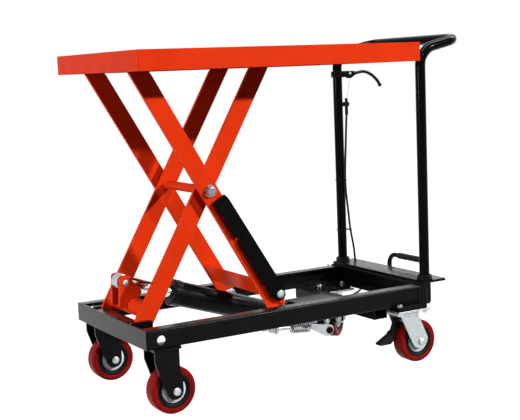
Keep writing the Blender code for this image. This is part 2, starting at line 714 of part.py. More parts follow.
def make_outer_arms():
    """Outer arm frame: two flat arms, the plate that ties them, and the prop's lug and bolt."""
    frame = joint_frame("outer_arms_axis", CENTRE)
    for label, side in SIDES:
        low, high = span(side, OUTER_ARM_Y, OUTER_FACE_Y)
        arm = plate("outer_arm_" + label, arm_corners(1), "XZ", low, high, frame, RED_PAINT)
        if side == NEAR:
            lug = [(*arm_point(along, up, 1), radius) for along, up, radius in PROP_LUG]
            lug_plate = plate("prop_lug", lug, "XZ", low - PROP_LUG_THICK, low + WELD_OVERLAP, frame)
            bolt_x, bolt_z = arm_point(PROP_BOLT_ALONG, PROP_BOLT_UP, 1)
            weld(arm, lug_plate)
            cut(arm, rod("prop_bolt_hole", (bolt_x, low - PROP_LUG_THICK - SIDE_GAP, bolt_z),
                         (bolt_x, high + SIDE_GAP, bolt_z), PROP_BOLT_R + FIT_GAP, frame))
        for spot, x, z in (("foot", ROLLER_X, PIVOT_Z), ("middle", CENTRE.x, CENTRE.z),
                           ("nose", PIVOT_X, TOP_Z)):
            cut(arm, pivot_hole(f"outer_{spot}_hole_{label}", x, z, low, high, frame))
    edge_y = OUTER_ARM_Y - FIT_GAP
    first = ARM_SPAN / 2 - CROSS_PLATE_FROM
    last = first - CROSS_PLATE_LENGTH
    low_up = CROSS_PLATE_INSET - ARM_DEPTH / 2
    corners = [arm_point(along, up, 1) for along, up in
               ((first, low_up), (first, low_up + CROSS_PLATE_THICK), (last, low_up + CROSS_PLATE_THICK),
                (last, low_up))]
    tie = plate("cross_plate", corners, "XZ", -edge_y, edge_y, frame, RED_PAINT)
    tab_end = first + CROSS_TAB_DROP
    tab_low = low_up + WELD_OVERLAP / 2
    tab_high = low_up + CROSS_PLATE_THICK - WELD_OVERLAP / 2
    tab_start = first - WELD_OVERLAP
    tab = [arm_point(along, up, 1) for along, up in
           ((tab_end, tab_low), (tab_end, tab_high), (tab_start, tab_high), (tab_start, tab_low))]
    weld(tie, plate("cross_plate_tab", tab, "XZ", CROSS_TAB_Y, CROSS_TAB_Y + CROSS_TAB_WIDTH, frame))
    hole = [arm_point(tab_end - CROSS_TAB_DROP / 2, up, 1) for up in (low_up - SIDE_GAP, tab_high + SIDE_GAP)]
    hole_y = CROSS_TAB_Y + CROSS_TAB_WIDTH / 2
    cut(tie, rod("cross_plate_tab_hole", (hole[0][0], hole_y, hole[0][1]), (hole[1][0], hole_y, hole[1][1]),
                 CROSS_TAB_HOLE_R, frame, segments=16))
    prop_low = -OUTER_FACE_Y - PROP_LUG_THICK - FIT_GAP - PROP_THICK
    head_y = prop_low - FIT_GAP
    bolt = rod("prop_bolt", (bolt_x, head_y - PROP_HEAD, bolt_z), (bolt_x, -OUTER_ARM_Y, bolt_z),
               PROP_BOLT_R, frame, ZINC)
    weld(bolt, rod("prop_bolt_head", (bolt_x, head_y - PROP_HEAD, bolt_z), (bolt_x, head_y, bolt_z),
                   PROP_HEAD_R, frame, segments=6))
    make_prop(bolt_x, bolt_z, prop_low)


def make_prop(bolt_x, bolt_z, low):
    """Maintenance prop: a flat bar on one bolt, lying along the near outer arm."""
    swing = joint_frame("prop_axis", (bolt_x, low, bolt_z))
    corners = [(*arm_point(along, up, 1), radius) for along, up, radius in PROP_OUTLINE]
    bar = plate("prop_bar", corners, "XZ", low, low + PROP_THICK, swing, BLACK_PAINT)
    hole_x, hole_z = arm_point(PROP_FROM + PROP_HOLE_SETBACK, PROP_HOLE_UP, 1)
    for name, x, z, radius in (("prop_pivot_hole", bolt_x, bolt_z, PROP_BOLT_R + FIT_GAP),
                               ("prop_pull_hole", hole_x, hole_z, PROP_HOLE_R)):
        cut(bar, rod(name, (x, low - SIDE_GAP, z), (x, low + PROP_THICK + SIDE_GAP, z), radius, swing,
                     segments=16))


def make_rollers():
    """Rollers of the scissor, each turned in one piece with its stub."""
    for label, side in SIDES:
        top = joint_frame("top_roller_axis_" + label, (ROLLER_X, 0, TOP_Z))
        start = INNER_ARM_Y + ARM_THICK + SIDE_GAP
        turned("top_roller_" + label,
               ((0, TOP_ROLLER_WIDTH), (TOP_ROLLER_R, TOP_ROLLER_WIDTH), (TOP_ROLLER_R, 0), (PIN_R, 0),
                (PIN_R, -ARM_THICK - 2 * SIDE_GAP), (0, -ARM_THICK - 2 * SIDE_GAP)),
               (ROLLER_X, side * start, TOP_Z), (0, side, 0), top, ZINC)
        base = joint_frame("base_roller_axis_" + label, (ROLLER_X, 0, PIVOT_Z))
        inner = RAIL_OUTER_Y - RAIL_FLANGE + ROLLER_INSET
        turned("base_roller_" + label,
               ((0, BASE_ROLLER_WIDTH), (BASE_ROLLER_R, BASE_ROLLER_WIDTH), (BASE_ROLLER_R, 0), (PIN_R, 0),
                (PIN_R, OUTER_ARM_Y - SIDE_GAP - inner), (0, OUTER_ARM_Y - SIDE_GAP - inner)),
               (ROLLER_X, side * inner, PIVOT_Z), (0, side, 0), base, ZINC)


def make_chassis():
    """Channel rails, the front channel with the fixed pivots, and the rear beam and deck."""
    web_x = CHASSIS_X + FRONT_WEB
    front = box("front_cross_channel", (CHASSIS_X, -RAIL_OUTER_Y, RAIL_Z), (web_x, RAIL_OUTER_Y, RAIL_TOP),
                ROOT, BLACK_PAINT)
    flange_y = INNER_ARM_Y - RAIL_WALL
    for level, low in (("lower", RAIL_Z), ("upper", RAIL_TOP - RAIL_WALL)):
        weld(front, box(f"front_{level}_flange", (web_x - WELD_OVERLAP, -flange_y, low),
                        (CHASSIS_X + FRONT_FLANGE, flange_y, low + RAIL_WALL)))
    for label, side in SIDES:
        make_rail(label, side, web_x + FIT_GAP)
        low, high = span(side, LUG_Y, LUG_Y + LUG_THICK)
        lug_x = web_x + FIT_GAP
        corners = ((lug_x, RAIL_Z + RAIL_WALL), (PIVOT_X + LUG_REACH, RAIL_Z + RAIL_WALL),
                   (PIVOT_X + LUG_REACH, PIVOT_Z + LUG_REACH, LUG_ROUND), (lug_x, PIVOT_Z + LUG_REACH))
        lug = plate("pivot_lug_" + label, corners, "XZ", low, high, ROOT, BLACK_PAINT)
        weld(lug, rod("pivot_pin_" + label, (PIVOT_X, side * (INNER_ARM_Y - FIT_GAP), PIVOT_Z),
                      (PIVOT_X, side * (LUG_Y + LUG_THICK / 2), PIVOT_Z), PIN_R))
    beam_low = RAIL_Z - BEAM_DROP
    corners = ((REAR_X, beam_low), (REAR_X + BEAM_LENGTH, beam_low, BEAM_ROUND),
               (REAR_X + BEAM_LENGTH, BEAM_TOP), (REAR_X, BEAM_TOP))
    beam = plate("rear_beam", corners, "XZ", -RAIL_OUTER_Y, RAIL_OUTER_Y, ROOT, BLACK_PAINT)
    cut(beam, box("rear_beam_hollow", (REAR_X - WELD_OVERLAP, BEAM_WALL - RAIL_OUTER_Y, beam_low + BEAM_WALL),
                  (REAR_X + BEAM_LENGTH - BEAM_WALL, RAIL_OUTER_Y - BEAM_WALL, BEAM_TOP - BEAM_WALL)))
    deck_x = REAR_X + DECK_SETBACK
    deck = box("rear_deck", (deck_x, -RAIL_OUTER_Y, DECK_Z), (deck_x + DECK_LENGTH, RAIL_OUTER_Y, DECK_TOP),
               ROOT, BLACK_PAINT)
    for label, side in SIDES:
        foot = Vector((POST_X, side * POST_Y, DECK_TOP))
        weld(deck, rod("post_collar_" + label, foot - Vector((0, 0, WELD_OVERLAP)),
                       foot + Vector((0, 0, COLLAR_HEIGHT)), COLLAR_R))
        cut(deck, rod("post_socket_" + label, foot, foot + Vector((0, 0, COLLAR_HEIGHT + SIDE_GAP)),
                      TUBE_R + FIT_GAP, segments=SEGMENTS))
    hole = Vector((POST_X + CABLE_HOLE_SETBACK, CABLE_HOLE_Y, DECK_Z))
    cut(deck, rod("cable_hole", hole - Vector((0, 0, SIDE_GAP)), hole + Vector((0, 0, DECK_THICK + SIDE_GAP)),
                  CABLE_R + SIDE_GAP, segments=12))


def make_rail(label, side, start):
    """One channel rail, open to the middle, with the pad and shelf that carry the rear caster."""
    outer = side * RAIL_OUTER_Y
    web = side * (RAIL_OUTER_Y - RAIL_WALL)
    inner = side * (RAIL_OUTER_Y - RAIL_FLANGE)
    corners = ((outer, RAIL_Z, RAIL_ROUND), (inner, RAIL_Z), (inner, RAIL_Z + RAIL_WALL),
               (web, RAIL_Z + RAIL_WALL), (web, RAIL_TOP - RAIL_WALL), (inner, RAIL_TOP - RAIL_WALL),
               (inner, RAIL_TOP), (outer, RAIL_TOP, RAIL_ROUND))
    rail = plate("rail_" + label, corners, "YZ", start, REAR_X - FIT_GAP, ROOT, BLACK_PAINT)
    low, high = span(side, RAIL_OUTER_Y - RAIL_FLANGE, RAIL_OUTER_Y + PAD_OVERHANG)
    pad_x = REAR_X - FIT_GAP - PAD_LENGTH
    pad_end = REAR_X - FIT_GAP - WELD_OVERLAP
    pad = box("caster_pad_" + label, (pad_x, low, RAIL_Z - PAD_THICK), (pad_end, high, RAIL_Z + WELD_OVERLAP))
    low, high = span(side, PAD_INNER_Y, RAIL_OUTER_Y)
    shelf = box("caster_shelf_" + label, (pad_x, low, RAIL_Z - PAD_THICK), (pad_end, high, RAIL_Z - PAD_STEP))
    weld(rail, pad, shelf)
    hole_x = PIVOT_X + RAIL_HOLE_LEAD
    hole_z = PIVOT_Z - RAIL_HOLE_DROP
    cut(rail, rod("rail_hole_" + label, (hole_x, side * (RAIL_OUTER_Y + SIDE_GAP), hole_z),
                  (hole_x, side * (RAIL_OUTER_Y - RAIL_WALL - SIDE_GAP), hole_z), RAIL_HOLE_R))


def make_handle():
    """Bent push handle, and the release lever with its bracket and cable."""
    foot_z = DECK_TOP + FIT_GAP
    side_points = ((POST_X, foot_z), (POST_X, POST_BEND_Z - HANDLE_LEAN), (POST_X + HANDLE_LEAN, POST_BEND_Z),
                   (BAR_X, BAR_Z))
    corners = [(x, -POST_Y, z) for x, z in side_points] + [(x, POST_Y, z) for x, z in reversed(side_points)]
    tube("push_handle", handle_path(corners), TUBE_R, 3, ROOT, BLACK_PAINT)
    clamp_top = CLAMP_Z + CLAMP_HEIGHT
    half = BRACKET_WIDTH / 2
    corners = ((POST_X, CLAMP_Z), (LEVER_X + BRACKET_NOSE, CLAMP_Z, BRACKET_ROUND),
               (LEVER_X + BRACKET_NOSE, clamp_top, BRACKET_ROUND), (POST_X, clamp_top))
    bracket = plate("lever_bracket", corners, "XZ", LEVER_Y - half, LEVER_Y + half, ROOT, BLACK_PAINT)
    weld(bracket, rod("lever_clamp", (POST_X, POST_Y, CLAMP_Z + WELD_OVERLAP / 2),
                      (POST_X, POST_Y, clamp_top - WELD_OVERLAP / 2), CLAMP_R))
    slot = LEVER_THICK / 2 + FIT_GAP
    cut(bracket, rod("clamp_bore", (POST_X, POST_Y, CLAMP_Z - SIDE_GAP),
                     (POST_X, POST_Y, clamp_top + SIDE_GAP), TUBE_R + FIT_GAP, segments=20),
        box("lever_slot", (LEVER_X - LEVER_EYE_R - SIDE_GAP, LEVER_Y - slot, CLAMP_Z - SIDE_GAP),
            (LEVER_X + BRACKET_NOSE + SIDE_GAP, LEVER_Y + slot, clamp_top + SIDE_GAP)))
    weld(bracket, rod("lever_pin", (LEVER_X, LEVER_Y - half - LEVER_PIN_PROUD, LEVER_Z),
                      (LEVER_X, LEVER_Y + half + LEVER_PIN_PROUD, LEVER_Z), LEVER_PIN_R, segments=16))
    make_lever()
    make_cable()


def handle_path(corners):
    """The handle's centre line, its six bends rounded."""
    first = bent_path(corners[:4], HANDLE_BEND)[:-1]
    bar = bent_path(corners[2:6], BAR_BEND)[1:-1]
    last = bent_path(corners[4:], HANDLE_BEND)[1:]
    return first + bar + last


def make_lever():
    """Release lever: a cranked rod with a ball, on an eye that turns in the bracket."""
    swing = joint_frame("release_axis", (LEVER_X, LEVER_Y, LEVER_Z))
    half = LEVER_THICK / 2
    arm_x = LEVER_X + LEVER_ARM[0]
    arm_z = LEVER_Z + LEVER_ARM[1]
    corners = ((LEVER_X - LEVER_EYE_R, LEVER_Z + LEVER_EYE_R, LEVER_EYE_R * ROUND_SHARE),
               (LEVER_X - LEVER_EYE_R, arm_z, LEVER_ROUND), (arm_x + LEVER_TAIL, arm_z, LEVER_ROUND),
               (LEVER_X + LEVER_POINTS[0][0], LEVER_Z - LEVER_NECK),
               (LEVER_X + LEVER_POINTS[0][0], LEVER_Z + LEVER_NECK))
    lever = plate("release_lever", corners, "XZ", LEVER_Y - half, LEVER_Y + half, swing, BLACK_PAINT)
    stem = [(LEVER_X + x, LEVER_Y, LEVER_Z + z) for x, z in LEVER_POINTS]
    start = (stem[0][0] - LEVER_LAP, LEVER_Y, stem[0][2])
    weld(lever, tube("lever_stem", smooth_path([start] + stem, LEVER_STEP), LEVER_ROD_R, 2, swing),
         ball("lever_ball", stem[-1], BALL_R, swing))
    cut(lever, rod("lever_eye", (LEVER_X, LEVER_Y - half - SIDE_GAP, LEVER_Z),
                   (LEVER_X, LEVER_Y + half + SIDE_GAP, LEVER_Z), LEVER_PIN_R + FIT_GAP, swing, segments=16))


def make_cable():
    """Release cable, held by the adjuster on the post, the deck and the pump's channel."""
    wire_x = LEVER_X + LEVER_ARM[0]
    wire_top = LEVER_Z + LEVER_ARM[1] - FIT_GAP
    adjuster_x = POST_X + ADJUSTER_OFFSET
    adjuster_top = ADJUSTER_Z + ADJUSTER_HEIGHT
    wire = tube("cable_wire", [(wire_x, LEVER_Y, wire_top), (adjuster_x, CABLE_Y, adjuster_top - CABLE_LAP)],
                WIRE_R, 1)
    route = [(adjuster_x, CABLE_Y, adjuster_top + CABLE_LAP),
             (adjuster_x, CABLE_Y, ADJUSTER_Z - ADJUSTER_TAIL)]
    route += [(POST_X + x, CABLE_Y, z) for x, z in CABLE_DROP]
    route.append((POST_X + CABLE_HOLE_SETBACK, CABLE_HOLE_Y, DECK_TOP))
    route += [(POST_X + x, y, z) for x, y, z in CABLE_UNDER]
    route.append((CHANNEL_X + CHANNEL_LENGTH + FIT_GAP, *CABLE_END))
    cable = tube("release_cable", smooth_path(route, CABLE_STEP), CABLE_R, 2, ROOT, BLACK_RUBBER)
    weld(cable, wire)
    block = box("cable_adjuster", (POST_X, CABLE_Y - ADJUSTER_WALL, ADJUSTER_Z),
                (adjuster_x + ADJUSTER_WALL, POST_Y - ADJUSTER_LAP, adjuster_top), ROOT, ZINC)
    cut(block, rod("adjuster_post_cut", (POST_X, POST_Y, ADJUSTER_Z - SIDE_GAP),
                   (POST_X, POST_Y, adjuster_top + SIDE_GAP), TUBE_R + FIT_GAP),
        rod("adjuster_bore", (adjuster_x, CABLE_Y, ADJUSTER_Z - SIDE_GAP),
            (adjuster_x, CABLE_Y, adjuster_top + SIDE_GAP), CABLE_R + FIT_GAP * 2, segments=16))


def make_wheel(name, centre, parent):
    """Caster wheel: tread with eased edges, a recessed core and a hub with the axle's bore."""
    half = WHEEL_WIDTH / 2
    face = half - CORE_RECESS
    bore = AXLE_R + FIT_GAP
    outer_half = [(WHEEL_R - TREAD_EASE, half), (WHEEL_R, half - TREAD_EASE)]
    core_half = [(bore, HUB_HALF), (HUB_R, HUB_HALF), (HUB_R + CORE_RECESS / 2, face),
                 (CORE_R - CORE_RECESS / 2, face), (CORE_R, half)]
    profile = outer_half + [(r, -y) for r, y in reversed(outer_half)]
    profile += [(r, -y) for r, y in reversed(core_half)] + core_half
    turned(name, profile, centre, (0, 1, 0), parent, TYRE_RED, WHEEL_STEPS)


def make_axle(name, centre, parent):
    """Axle bolt with a head and a nut outside the fork."""
    reach = FORK_INNER + FORK_THICK + FIT_GAP
    end = reach + AXLE_HEAD
    turned(name, ((0, end), (AXLE_HEAD_R, end), (AXLE_HEAD_R, reach), (AXLE_R, reach), (AXLE_R, -reach),
                  (AXLE_HEAD_R, -reach), (AXLE_HEAD_R, -end), (0, -end)), centre, (0, 1, 0), parent, ZINC, 20)


def fork_leg_spans(middle):
    """Lowest and highest Y of the two legs of a fork."""
    outer = FORK_INNER + FORK_THICK
    return ((middle - outer, middle - FORK_INNER), (middle + FORK_INNER, middle + outer))


def make_front_casters():
    """Fixed front casters, each a slanted fork under a rail."""
    axle_x = FRONT_X + FRONT_AXLE_INSET
    top = RAIL_Z - FIT_GAP
    plate_z = top - FRONT_PLATE_THICK
    plate_x = axle_x - FRONT_PLATE_LEAD
    for label, side in SIDES:
        y = side * FRONT_WHEEL_Y
        fork = box("front_fork_" + label, (plate_x, y - FRONT_PLATE_WIDTH / 2, plate_z),
                   (plate_x + FRONT_PLATE_LENGTH, y + FRONT_PLATE_WIDTH / 2, top), ROOT, BLACK_PAINT)
        for index, (low, high) in enumerate(fork_leg_spans(y)):
            leg = [(axle_x + u, WHEEL_R + v, radius) for u, v, radius in FRONT_LEG]
            leg[0] = (leg[0][0], plate_z + WELD_OVERLAP, 0)
            leg[-1] = (leg[-1][0], plate_z + WELD_OVERLAP, 0)
            weld(fork, plate(f"front_leg_{label}_{index}", leg, "XZ", low, high))
        reach = FRONT_PLATE_WIDTH / 2 + SIDE_GAP
        cut(fork, rod("front_axle_hole_" + label, (axle_x, y - reach, WHEEL_R), (axle_x, y + reach, WHEEL_R),
                      AXLE_R + FIT_GAP, segments=20))
        make_axle("front_axle_" + label, (axle_x, y, WHEEL_R), ROOT)
        spin = joint_frame("front_wheel_axis_" + label, (axle_x, y, WHEEL_R))
        make_wheel("front_wheel_" + label, (axle_x, y, WHEEL_R), spin)


def make_rear_casters():
    """Swivel rear casters with a foot brake. The far one rests turned outwards."""
    plate_top = RAIL_Z - PAD_THICK - FIT_GAP
    race_top = plate_top - PLATE_THICK
    crown_top = race_top - RACE_HEIGHT - FIT_GAP
    crown_low = crown_top - CROWN_THICK
    for label, side in SIDES:
        low, high = span(side, PAD_INNER_Y, RAIL_OUTER_Y + PAD_OVERHANG)
        kingpin = Vector((KINGPIN_X, side * KINGPIN_Y, 0))
        top = box("swivel_plate_" + label, (KINGPIN_X - PLATE_LENGTH / 2, low, race_top),
                  (KINGPIN_X + PLATE_LENGTH / 2, high, plate_top), ROOT, ZINC)
        weld(top, rod("swivel_race_" + label, kingpin + Vector((0, 0, race_top - RACE_HEIGHT)),
                      kingpin + Vector((0, 0, race_top + WELD_OVERLAP)), RACE_R),
             rod("kingpin_" + label, kingpin + Vector((0, 0, crown_low - KINGPIN_PROUD)),
                 kingpin + Vector((0, 0, race_top)), KINGPIN_R, segments=16))
        turn = FAR_CASTER_TURN if side == FAR else 0
        swivel = joint_frame("rear_swivel_axis_" + label, kingpin, ROOT, turn)
        outer = FORK_INNER + FORK_THICK
        inner = outer - FORK_THICK / 2
        fork = box("rear_fork_" + label, (-CROWN_BACK - WELD_OVERLAP, -inner, crown_low),
                   (CROWN_FRONT + WELD_OVERLAP, inner, crown_top), swivel, ZINC)
        for index, (leg_low, leg_high) in enumerate(fork_leg_spans(0)):
            leg_top = crown_top - WELD_OVERLAP
            leg = [(-CROWN_BACK, leg_top, 0)]
            leg += [(CASTER_TRAIL + u, WHEEL_R + v, radius) for u, v, radius in REAR_EYE]
            leg += [(CROWN_FRONT, crown_low - LEG_FRONT_DROP, LEG_ROUND), (CROWN_FRONT, leg_top, 0)]
            weld(fork, plate(f"rear_leg_{label}_{index}", leg, "XZ", leg_low, leg_high, swivel))
        weld(fork, rod("brake_pin_" + label, (BRAKE_X, -inner, BRAKE_Z), (BRAKE_X, inner, BRAKE_Z),
                       BRAKE_PIN_R, swivel, segments=16))
        reach = outer + SIDE_GAP
        cut(fork, rod("rear_axle_hole_" + label, (CASTER_TRAIL, -reach, WHEEL_R),
                      (CASTER_TRAIL, reach, WHEEL_R), AXLE_R + FIT_GAP, swivel, segments=20),
            rod("kingpin_hole_" + label, (0, 0, crown_low - SIDE_GAP), (0, 0, crown_top + SIDE_GAP),
                KINGPIN_R + FIT_GAP, swivel, segments=16))
        axle = (CASTER_TRAIL, 0, WHEEL_R)
        make_axle("rear_axle_" + label, axle, swivel)
        spin = joint_frame("rear_wheel_axis_" + label, axle, swivel)
        make_wheel("rear_wheel_" + label, axle, spin)
        rock = joint_frame("brake_axis_" + label, (BRAKE_X, 0, BRAKE_Z), swivel)
        tongue = [(BRAKE_X + u, BRAKE_Z + v, radius) for u, v, radius in BRAKE_OUTLINE]
        pedal = plate("brake_pedal_" + label, tongue, "XZ", -HUB_HALF, HUB_HALF, rock, BLACK_PAINT)
        cut(pedal, rod("brake_bore_" + label, (BRAKE_X, -FORK_INNER, BRAKE_Z),
                       (BRAKE_X, FORK_INNER, BRAKE_Z), BRAKE_PIN_R + FIT_GAP, rock, segments=16))


def make_ram():
    """Hydraulic ram: a barrel on the pump's clevis and a chromed rod with an eye round the crank pin."""
    along = (CRANK - RAM_BASE).normalized()
    swing = joint_frame("ram_axis", RAM_BASE)
    mouth = BARREL_START + BARREL_LENGTH
    bore = ROD_R + FIT_GAP
    floor = BARREL_START + BARREL_WALL
    barrel = turned("ram_barrel", ((0, floor), (bore, floor), (bore, mouth), (GLAND_R, mouth),
                                   (GLAND_R, mouth - GLAND_LENGTH), (BARREL_R, mouth - GLAND_LENGTH),
                                   (BARREL_R, BARREL_START), (0, BARREL_START)),
                    RAM_BASE, along, swing, BLACK_PAINT, 28)
    half = RAM_FOOT_WIDTH / 2
    across = Vector((0, 1, 0))
    weld(barrel,
         rod("ram_neck", RAM_BASE, RAM_BASE + along * (BARREL_START + WELD_OVERLAP), RAM_NECK_R, swing),
         rod("ram_foot", RAM_BASE - across * half, RAM_BASE + across * half, RAM_FOOT_R, swing))
    cut(barrel, rod("ram_foot_hole", RAM_BASE - across * (half + SIDE_GAP),
                    RAM_BASE + across * (half + SIDE_GAP), RAM_PIN_R + FIT_GAP, swing, segments=20))
    slide = joint_frame("ram_rod_axis", RAM_BASE)
    shaft = rod("ram_rod", RAM_BASE + along * ROD_INSIDE, CRANK - along * (EYE_R - EYE_LAP), ROD_R, slide,
                CHROME, 28)
    half = EYE_WIDTH / 2
    weld(shaft, rod("ram_eye", CRANK - across * half, CRANK + across * half, EYE_R, slide))
    cut(shaft, rod("ram_eye_hole", CRANK - across * (half + SIDE_GAP), CRANK + across * (half + SIDE_GAP),
                   EYE_HOLE_R, slide))
    pin_y = CLEVIS_Y + PUMP_EAR + RAM_PIN_PROUD
    rod("ram_base_pin", RAM_BASE - across * pin_y, RAM_BASE + across * pin_y, RAM_PIN_R, ROOT, ZINC, 20)


def make_pump():
    """Pump block on its cross channel, with the ears that carry the ram and the pedal shaft."""
    channel_low = CHANNEL_TOP - CHANNEL_DEPTH
    wall = Vector((CHANNEL_WALL, -SIDE_GAP, CHANNEL_WALL))
    low = Vector((CHANNEL_X, -CHANNEL_HALF_WIDTH, channel_low))
    high = Vector((CHANNEL_X + CHANNEL_LENGTH, CHANNEL_HALF_WIDTH, CHANNEL_TOP))
    cut(box("pump_channel", low, high, ROOT, BLACK_PAINT), box("channel_bore", low + wall, high - wall))
    block = box("pump_block", (PUMP_X, -PUMP_HALF_WIDTH, PUMP_Z),
                (PUMP_X + PUMP_LENGTH, PUMP_HALF_WIDTH, PUMP_Z + PUMP_HEIGHT), ROOT, BLACK_PAINT)
    for label, side in SIDES:
        low, high = span(side, CLEVIS_Y, CLEVIS_Y + PUMP_EAR)
        reach = RAM_FOOT_R + CLEVIS_WALL
        ear = ((PUMP_X + WELD_OVERLAP, RAM_BASE_Z - reach), (PUMP_X + WELD_OVERLAP, RAM_BASE_Z + reach),
               (RAM_BASE_X - reach, RAM_BASE_Z + reach, reach * ROUND_SHARE),
               (RAM_BASE_X - reach, RAM_BASE_Z - reach, reach * ROUND_SHARE))
        weld(block, plate("clevis_ear_" + label, ear, "XZ", low, high))
        low, high = span(side, PEDAL_EAR_Y, PEDAL_EAR_Y + PUMP_EAR)
        reach = PEDAL_SHAFT_R + PEDAL_EAR_WALL
        ear = ((PEDAL_X - reach, PUMP_Z + WELD_OVERLAP), (PEDAL_X + reach, PUMP_Z + WELD_OVERLAP),
               (PEDAL_X + reach, PEDAL_Z - reach, reach * ROUND_SHARE),
               (PEDAL_X - reach, PEDAL_Z - reach, reach * ROUND_SHARE))
        weld(block, plate("pedal_ear_" + label, ear, "XZ", low, high))
    wide = PUMP_HALF_WIDTH + SIDE_GAP
    cut(block, rod("ram_pin_hole", (RAM_BASE_X, -wide, RAM_BASE_Z), (RAM_BASE_X, wide, RAM_BASE_Z),
                   RAM_PIN_R + FIT_GAP, segments=20),
        rod("pedal_shaft_hole", (PEDAL_X, -wide, PEDAL_Z), (PEDAL_X, wide, PEDAL_Z), PEDAL_SHAFT_R + FIT_GAP))


def spring_points(start, along, length):
    """Centre line of a wound spring whose ends run out along its own axis."""
    tail = 2 * SPRING_WIRE_R
    side = along.cross(Vector((0, 1, 0))).normalized()
    up = along.cross(side)
    lead = POINTS_PER_TURN * 3 // 4
    count = SPRING_TURNS * POINTS_PER_TURN + 2 * lead
    points = [start.copy()]
    for step in range(count + 1):
        grow = min(1.0, step / lead, (count - step) / lead)
        radius = SPRING_R * sin(grow * pi / 2)
        angle = 2 * pi * step / POINTS_PER_TURN
        place = start + along * (tail + (length - 2 * tail) * step / count)
        points.append(place + (side * cos(angle) + up * sin(angle)) * radius)
    points.append(start + along * length)
    return points


def least_self_gap(points):
    """Smallest clear distance between turns of the spring, from its centre line's points."""
    gaps = []
    for index, point in enumerate(points):
        gaps += [(point - other).length for other in points[index + POINTS_PER_TURN // 2 + 1:]]
    return min(gaps) - 2 * SPRING_WIRE_R


def make_pedal():
    """Foot pedal on its cross shaft, with the link, return spring and spring anchor on the near side."""
    press = joint_frame("pedal_axis", (PEDAL_X, 0, PEDAL_Z))
    pedal = rod("foot_pedal", (PEDAL_X, LINK_Y - SHAFT_NEAR_END, PEDAL_Z),
                (PEDAL_X, PEDAL_ROD_Y + SHAFT_FAR_END, PEDAL_Z), PEDAL_SHAFT_R, press, ZINC)
    route = ((PEDAL_X, PEDAL_ROD_Y, PEDAL_Z),
             (PEDAL_BACK_X - PEDAL_SLOPE[0], PEDAL_ROD_Y, PEDAL_Z + PEDAL_SLOPE[1]),
             (PEDAL_BACK_X, PEDAL_POST_Y, PEDAL_Z + PEDAL_HEEL), (PEDAL_BACK_X, PEDAL_POST_Y, PEDAL_TOP_Z),
             (PEDAL_BACK_X, SLEEVE_Y - SLEEVE_LENGTH - SLEEVE_END, PEDAL_TOP_Z))
    weld(pedal, tube("pedal_bar", bent_path(route, PEDAL_BEND), PEDAL_ROD_R, 3, press))
    inner = PEDAL_ROD_R + FIT_GAP
    turned("pedal_sleeve", ((SLEEVE_R, SLEEVE_LENGTH), (SLEEVE_R, 0), (inner, 0), (inner, SLEEVE_LENGTH)),
           (PEDAL_BACK_X, SLEEVE_Y, PEDAL_TOP_Z), (0, -1, 0), press, BLACK_RUBBER, 20)
    link_low = LINK_Y - LINK_THICK / 2
    link_high = LINK_Y + LINK_THICK / 2
    hook = Vector((PEDAL_X - LINK_REACH, LINK_Y, PEDAL_Z + LINK_RISE))
    anchor = Vector((ANCHOR_X, LINK_Y, ANCHOR_Z))
    along = (hook - anchor).normalized()
    eye = PEDAL_SHAFT_R + LINK_EYE_WALL
    corners = ((hook.x, hook.z - LINK_HEIGHT / 2), (hook.x, hook.z + LINK_HEIGHT / 2),
               (PEDAL_X + eye, PEDAL_Z + eye, eye * ROUND_SHARE),
               (PEDAL_X + eye, PEDAL_Z - eye, eye * ROUND_SHARE), (PEDAL_X - eye, PEDAL_Z - eye, eye / 2))
    link = plate("pedal_link", corners, "XZ", link_low, link_high, press, ZINC)
    cut(link, rod("link_eye", (PEDAL_X, link_low - SIDE_GAP, PEDAL_Z),
                  (PEDAL_X, link_high + SIDE_GAP, PEDAL_Z), PEDAL_SHAFT_R + FIT_GAP, press))
    spring_start = hook - along * (SPRING_LENGTH + FIT_GAP)
    points = spring_points(spring_start, along, SPRING_LENGTH)
    print("pedal_spring least gap to itself, mm:", round(1000 * least_self_gap(points), 2))
    tube("pedal_spring", points, SPRING_WIRE_R, 1, press, ZINC)
    make_spring_anchor(anchor, along, spring_start - along * FIT_GAP)


def make_spring_anchor(anchor, along, tip):
    """Strap on the pump block whose tab holds the spring's adjusting bolt."""
    outer = -PUMP_HALF_WIDTH - FIT_GAP
    strap = box("spring_anchor", (ANCHOR_X, outer - ANCHOR_PLATE, ANCHOR_Z - STRAP_DEPTH / 2),
                (PUMP_X + STRAP_LAP, outer, ANCHOR_Z + STRAP_DEPTH / 2), ROOT, BLACK_PAINT)
    tab_reach = ANCHOR_NUT_R + ANCHOR_TAB_WALL
    weld(strap, box("anchor_tab", (ANCHOR_X + WELD_OVERLAP / 2, LINK_Y - tab_reach, ANCHOR_Z - tab_reach),
                    (ANCHOR_X + ANCHOR_PLATE, outer - WELD_OVERLAP, ANCHOR_Z + tab_reach)),
         rod("anchor_bolt", anchor - along * ANCHOR_BOLT_BACK, tip, ANCHOR_BOLT_R, segments=16))
    lap = WELD_OVERLAP / 2
    for index, place in enumerate((-ANCHOR_NUT_WIDTH - lap, ANCHOR_PLATE - lap)):
        weld(strap, rod(f"anchor_nut_{index}", anchor + along * place,
                        anchor + along * (place + ANCHOR_NUT_WIDTH + 2 * lap), ANCHOR_NUT_R, segments=6))


make_platform()
make_inner_arms()
make_outer_arms()
make_rollers()
make_chassis()
make_handle()
make_front_casters()
make_rear_casters()
make_ram()
make_pump()
make_pedal()
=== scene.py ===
import json
from math import cos, pi, radians, sin, tan

import bmesh
import bpy
from bpy.props import FloatProperty, FloatVectorProperty, IntProperty, PointerProperty
from mathutils import Matrix, Vector


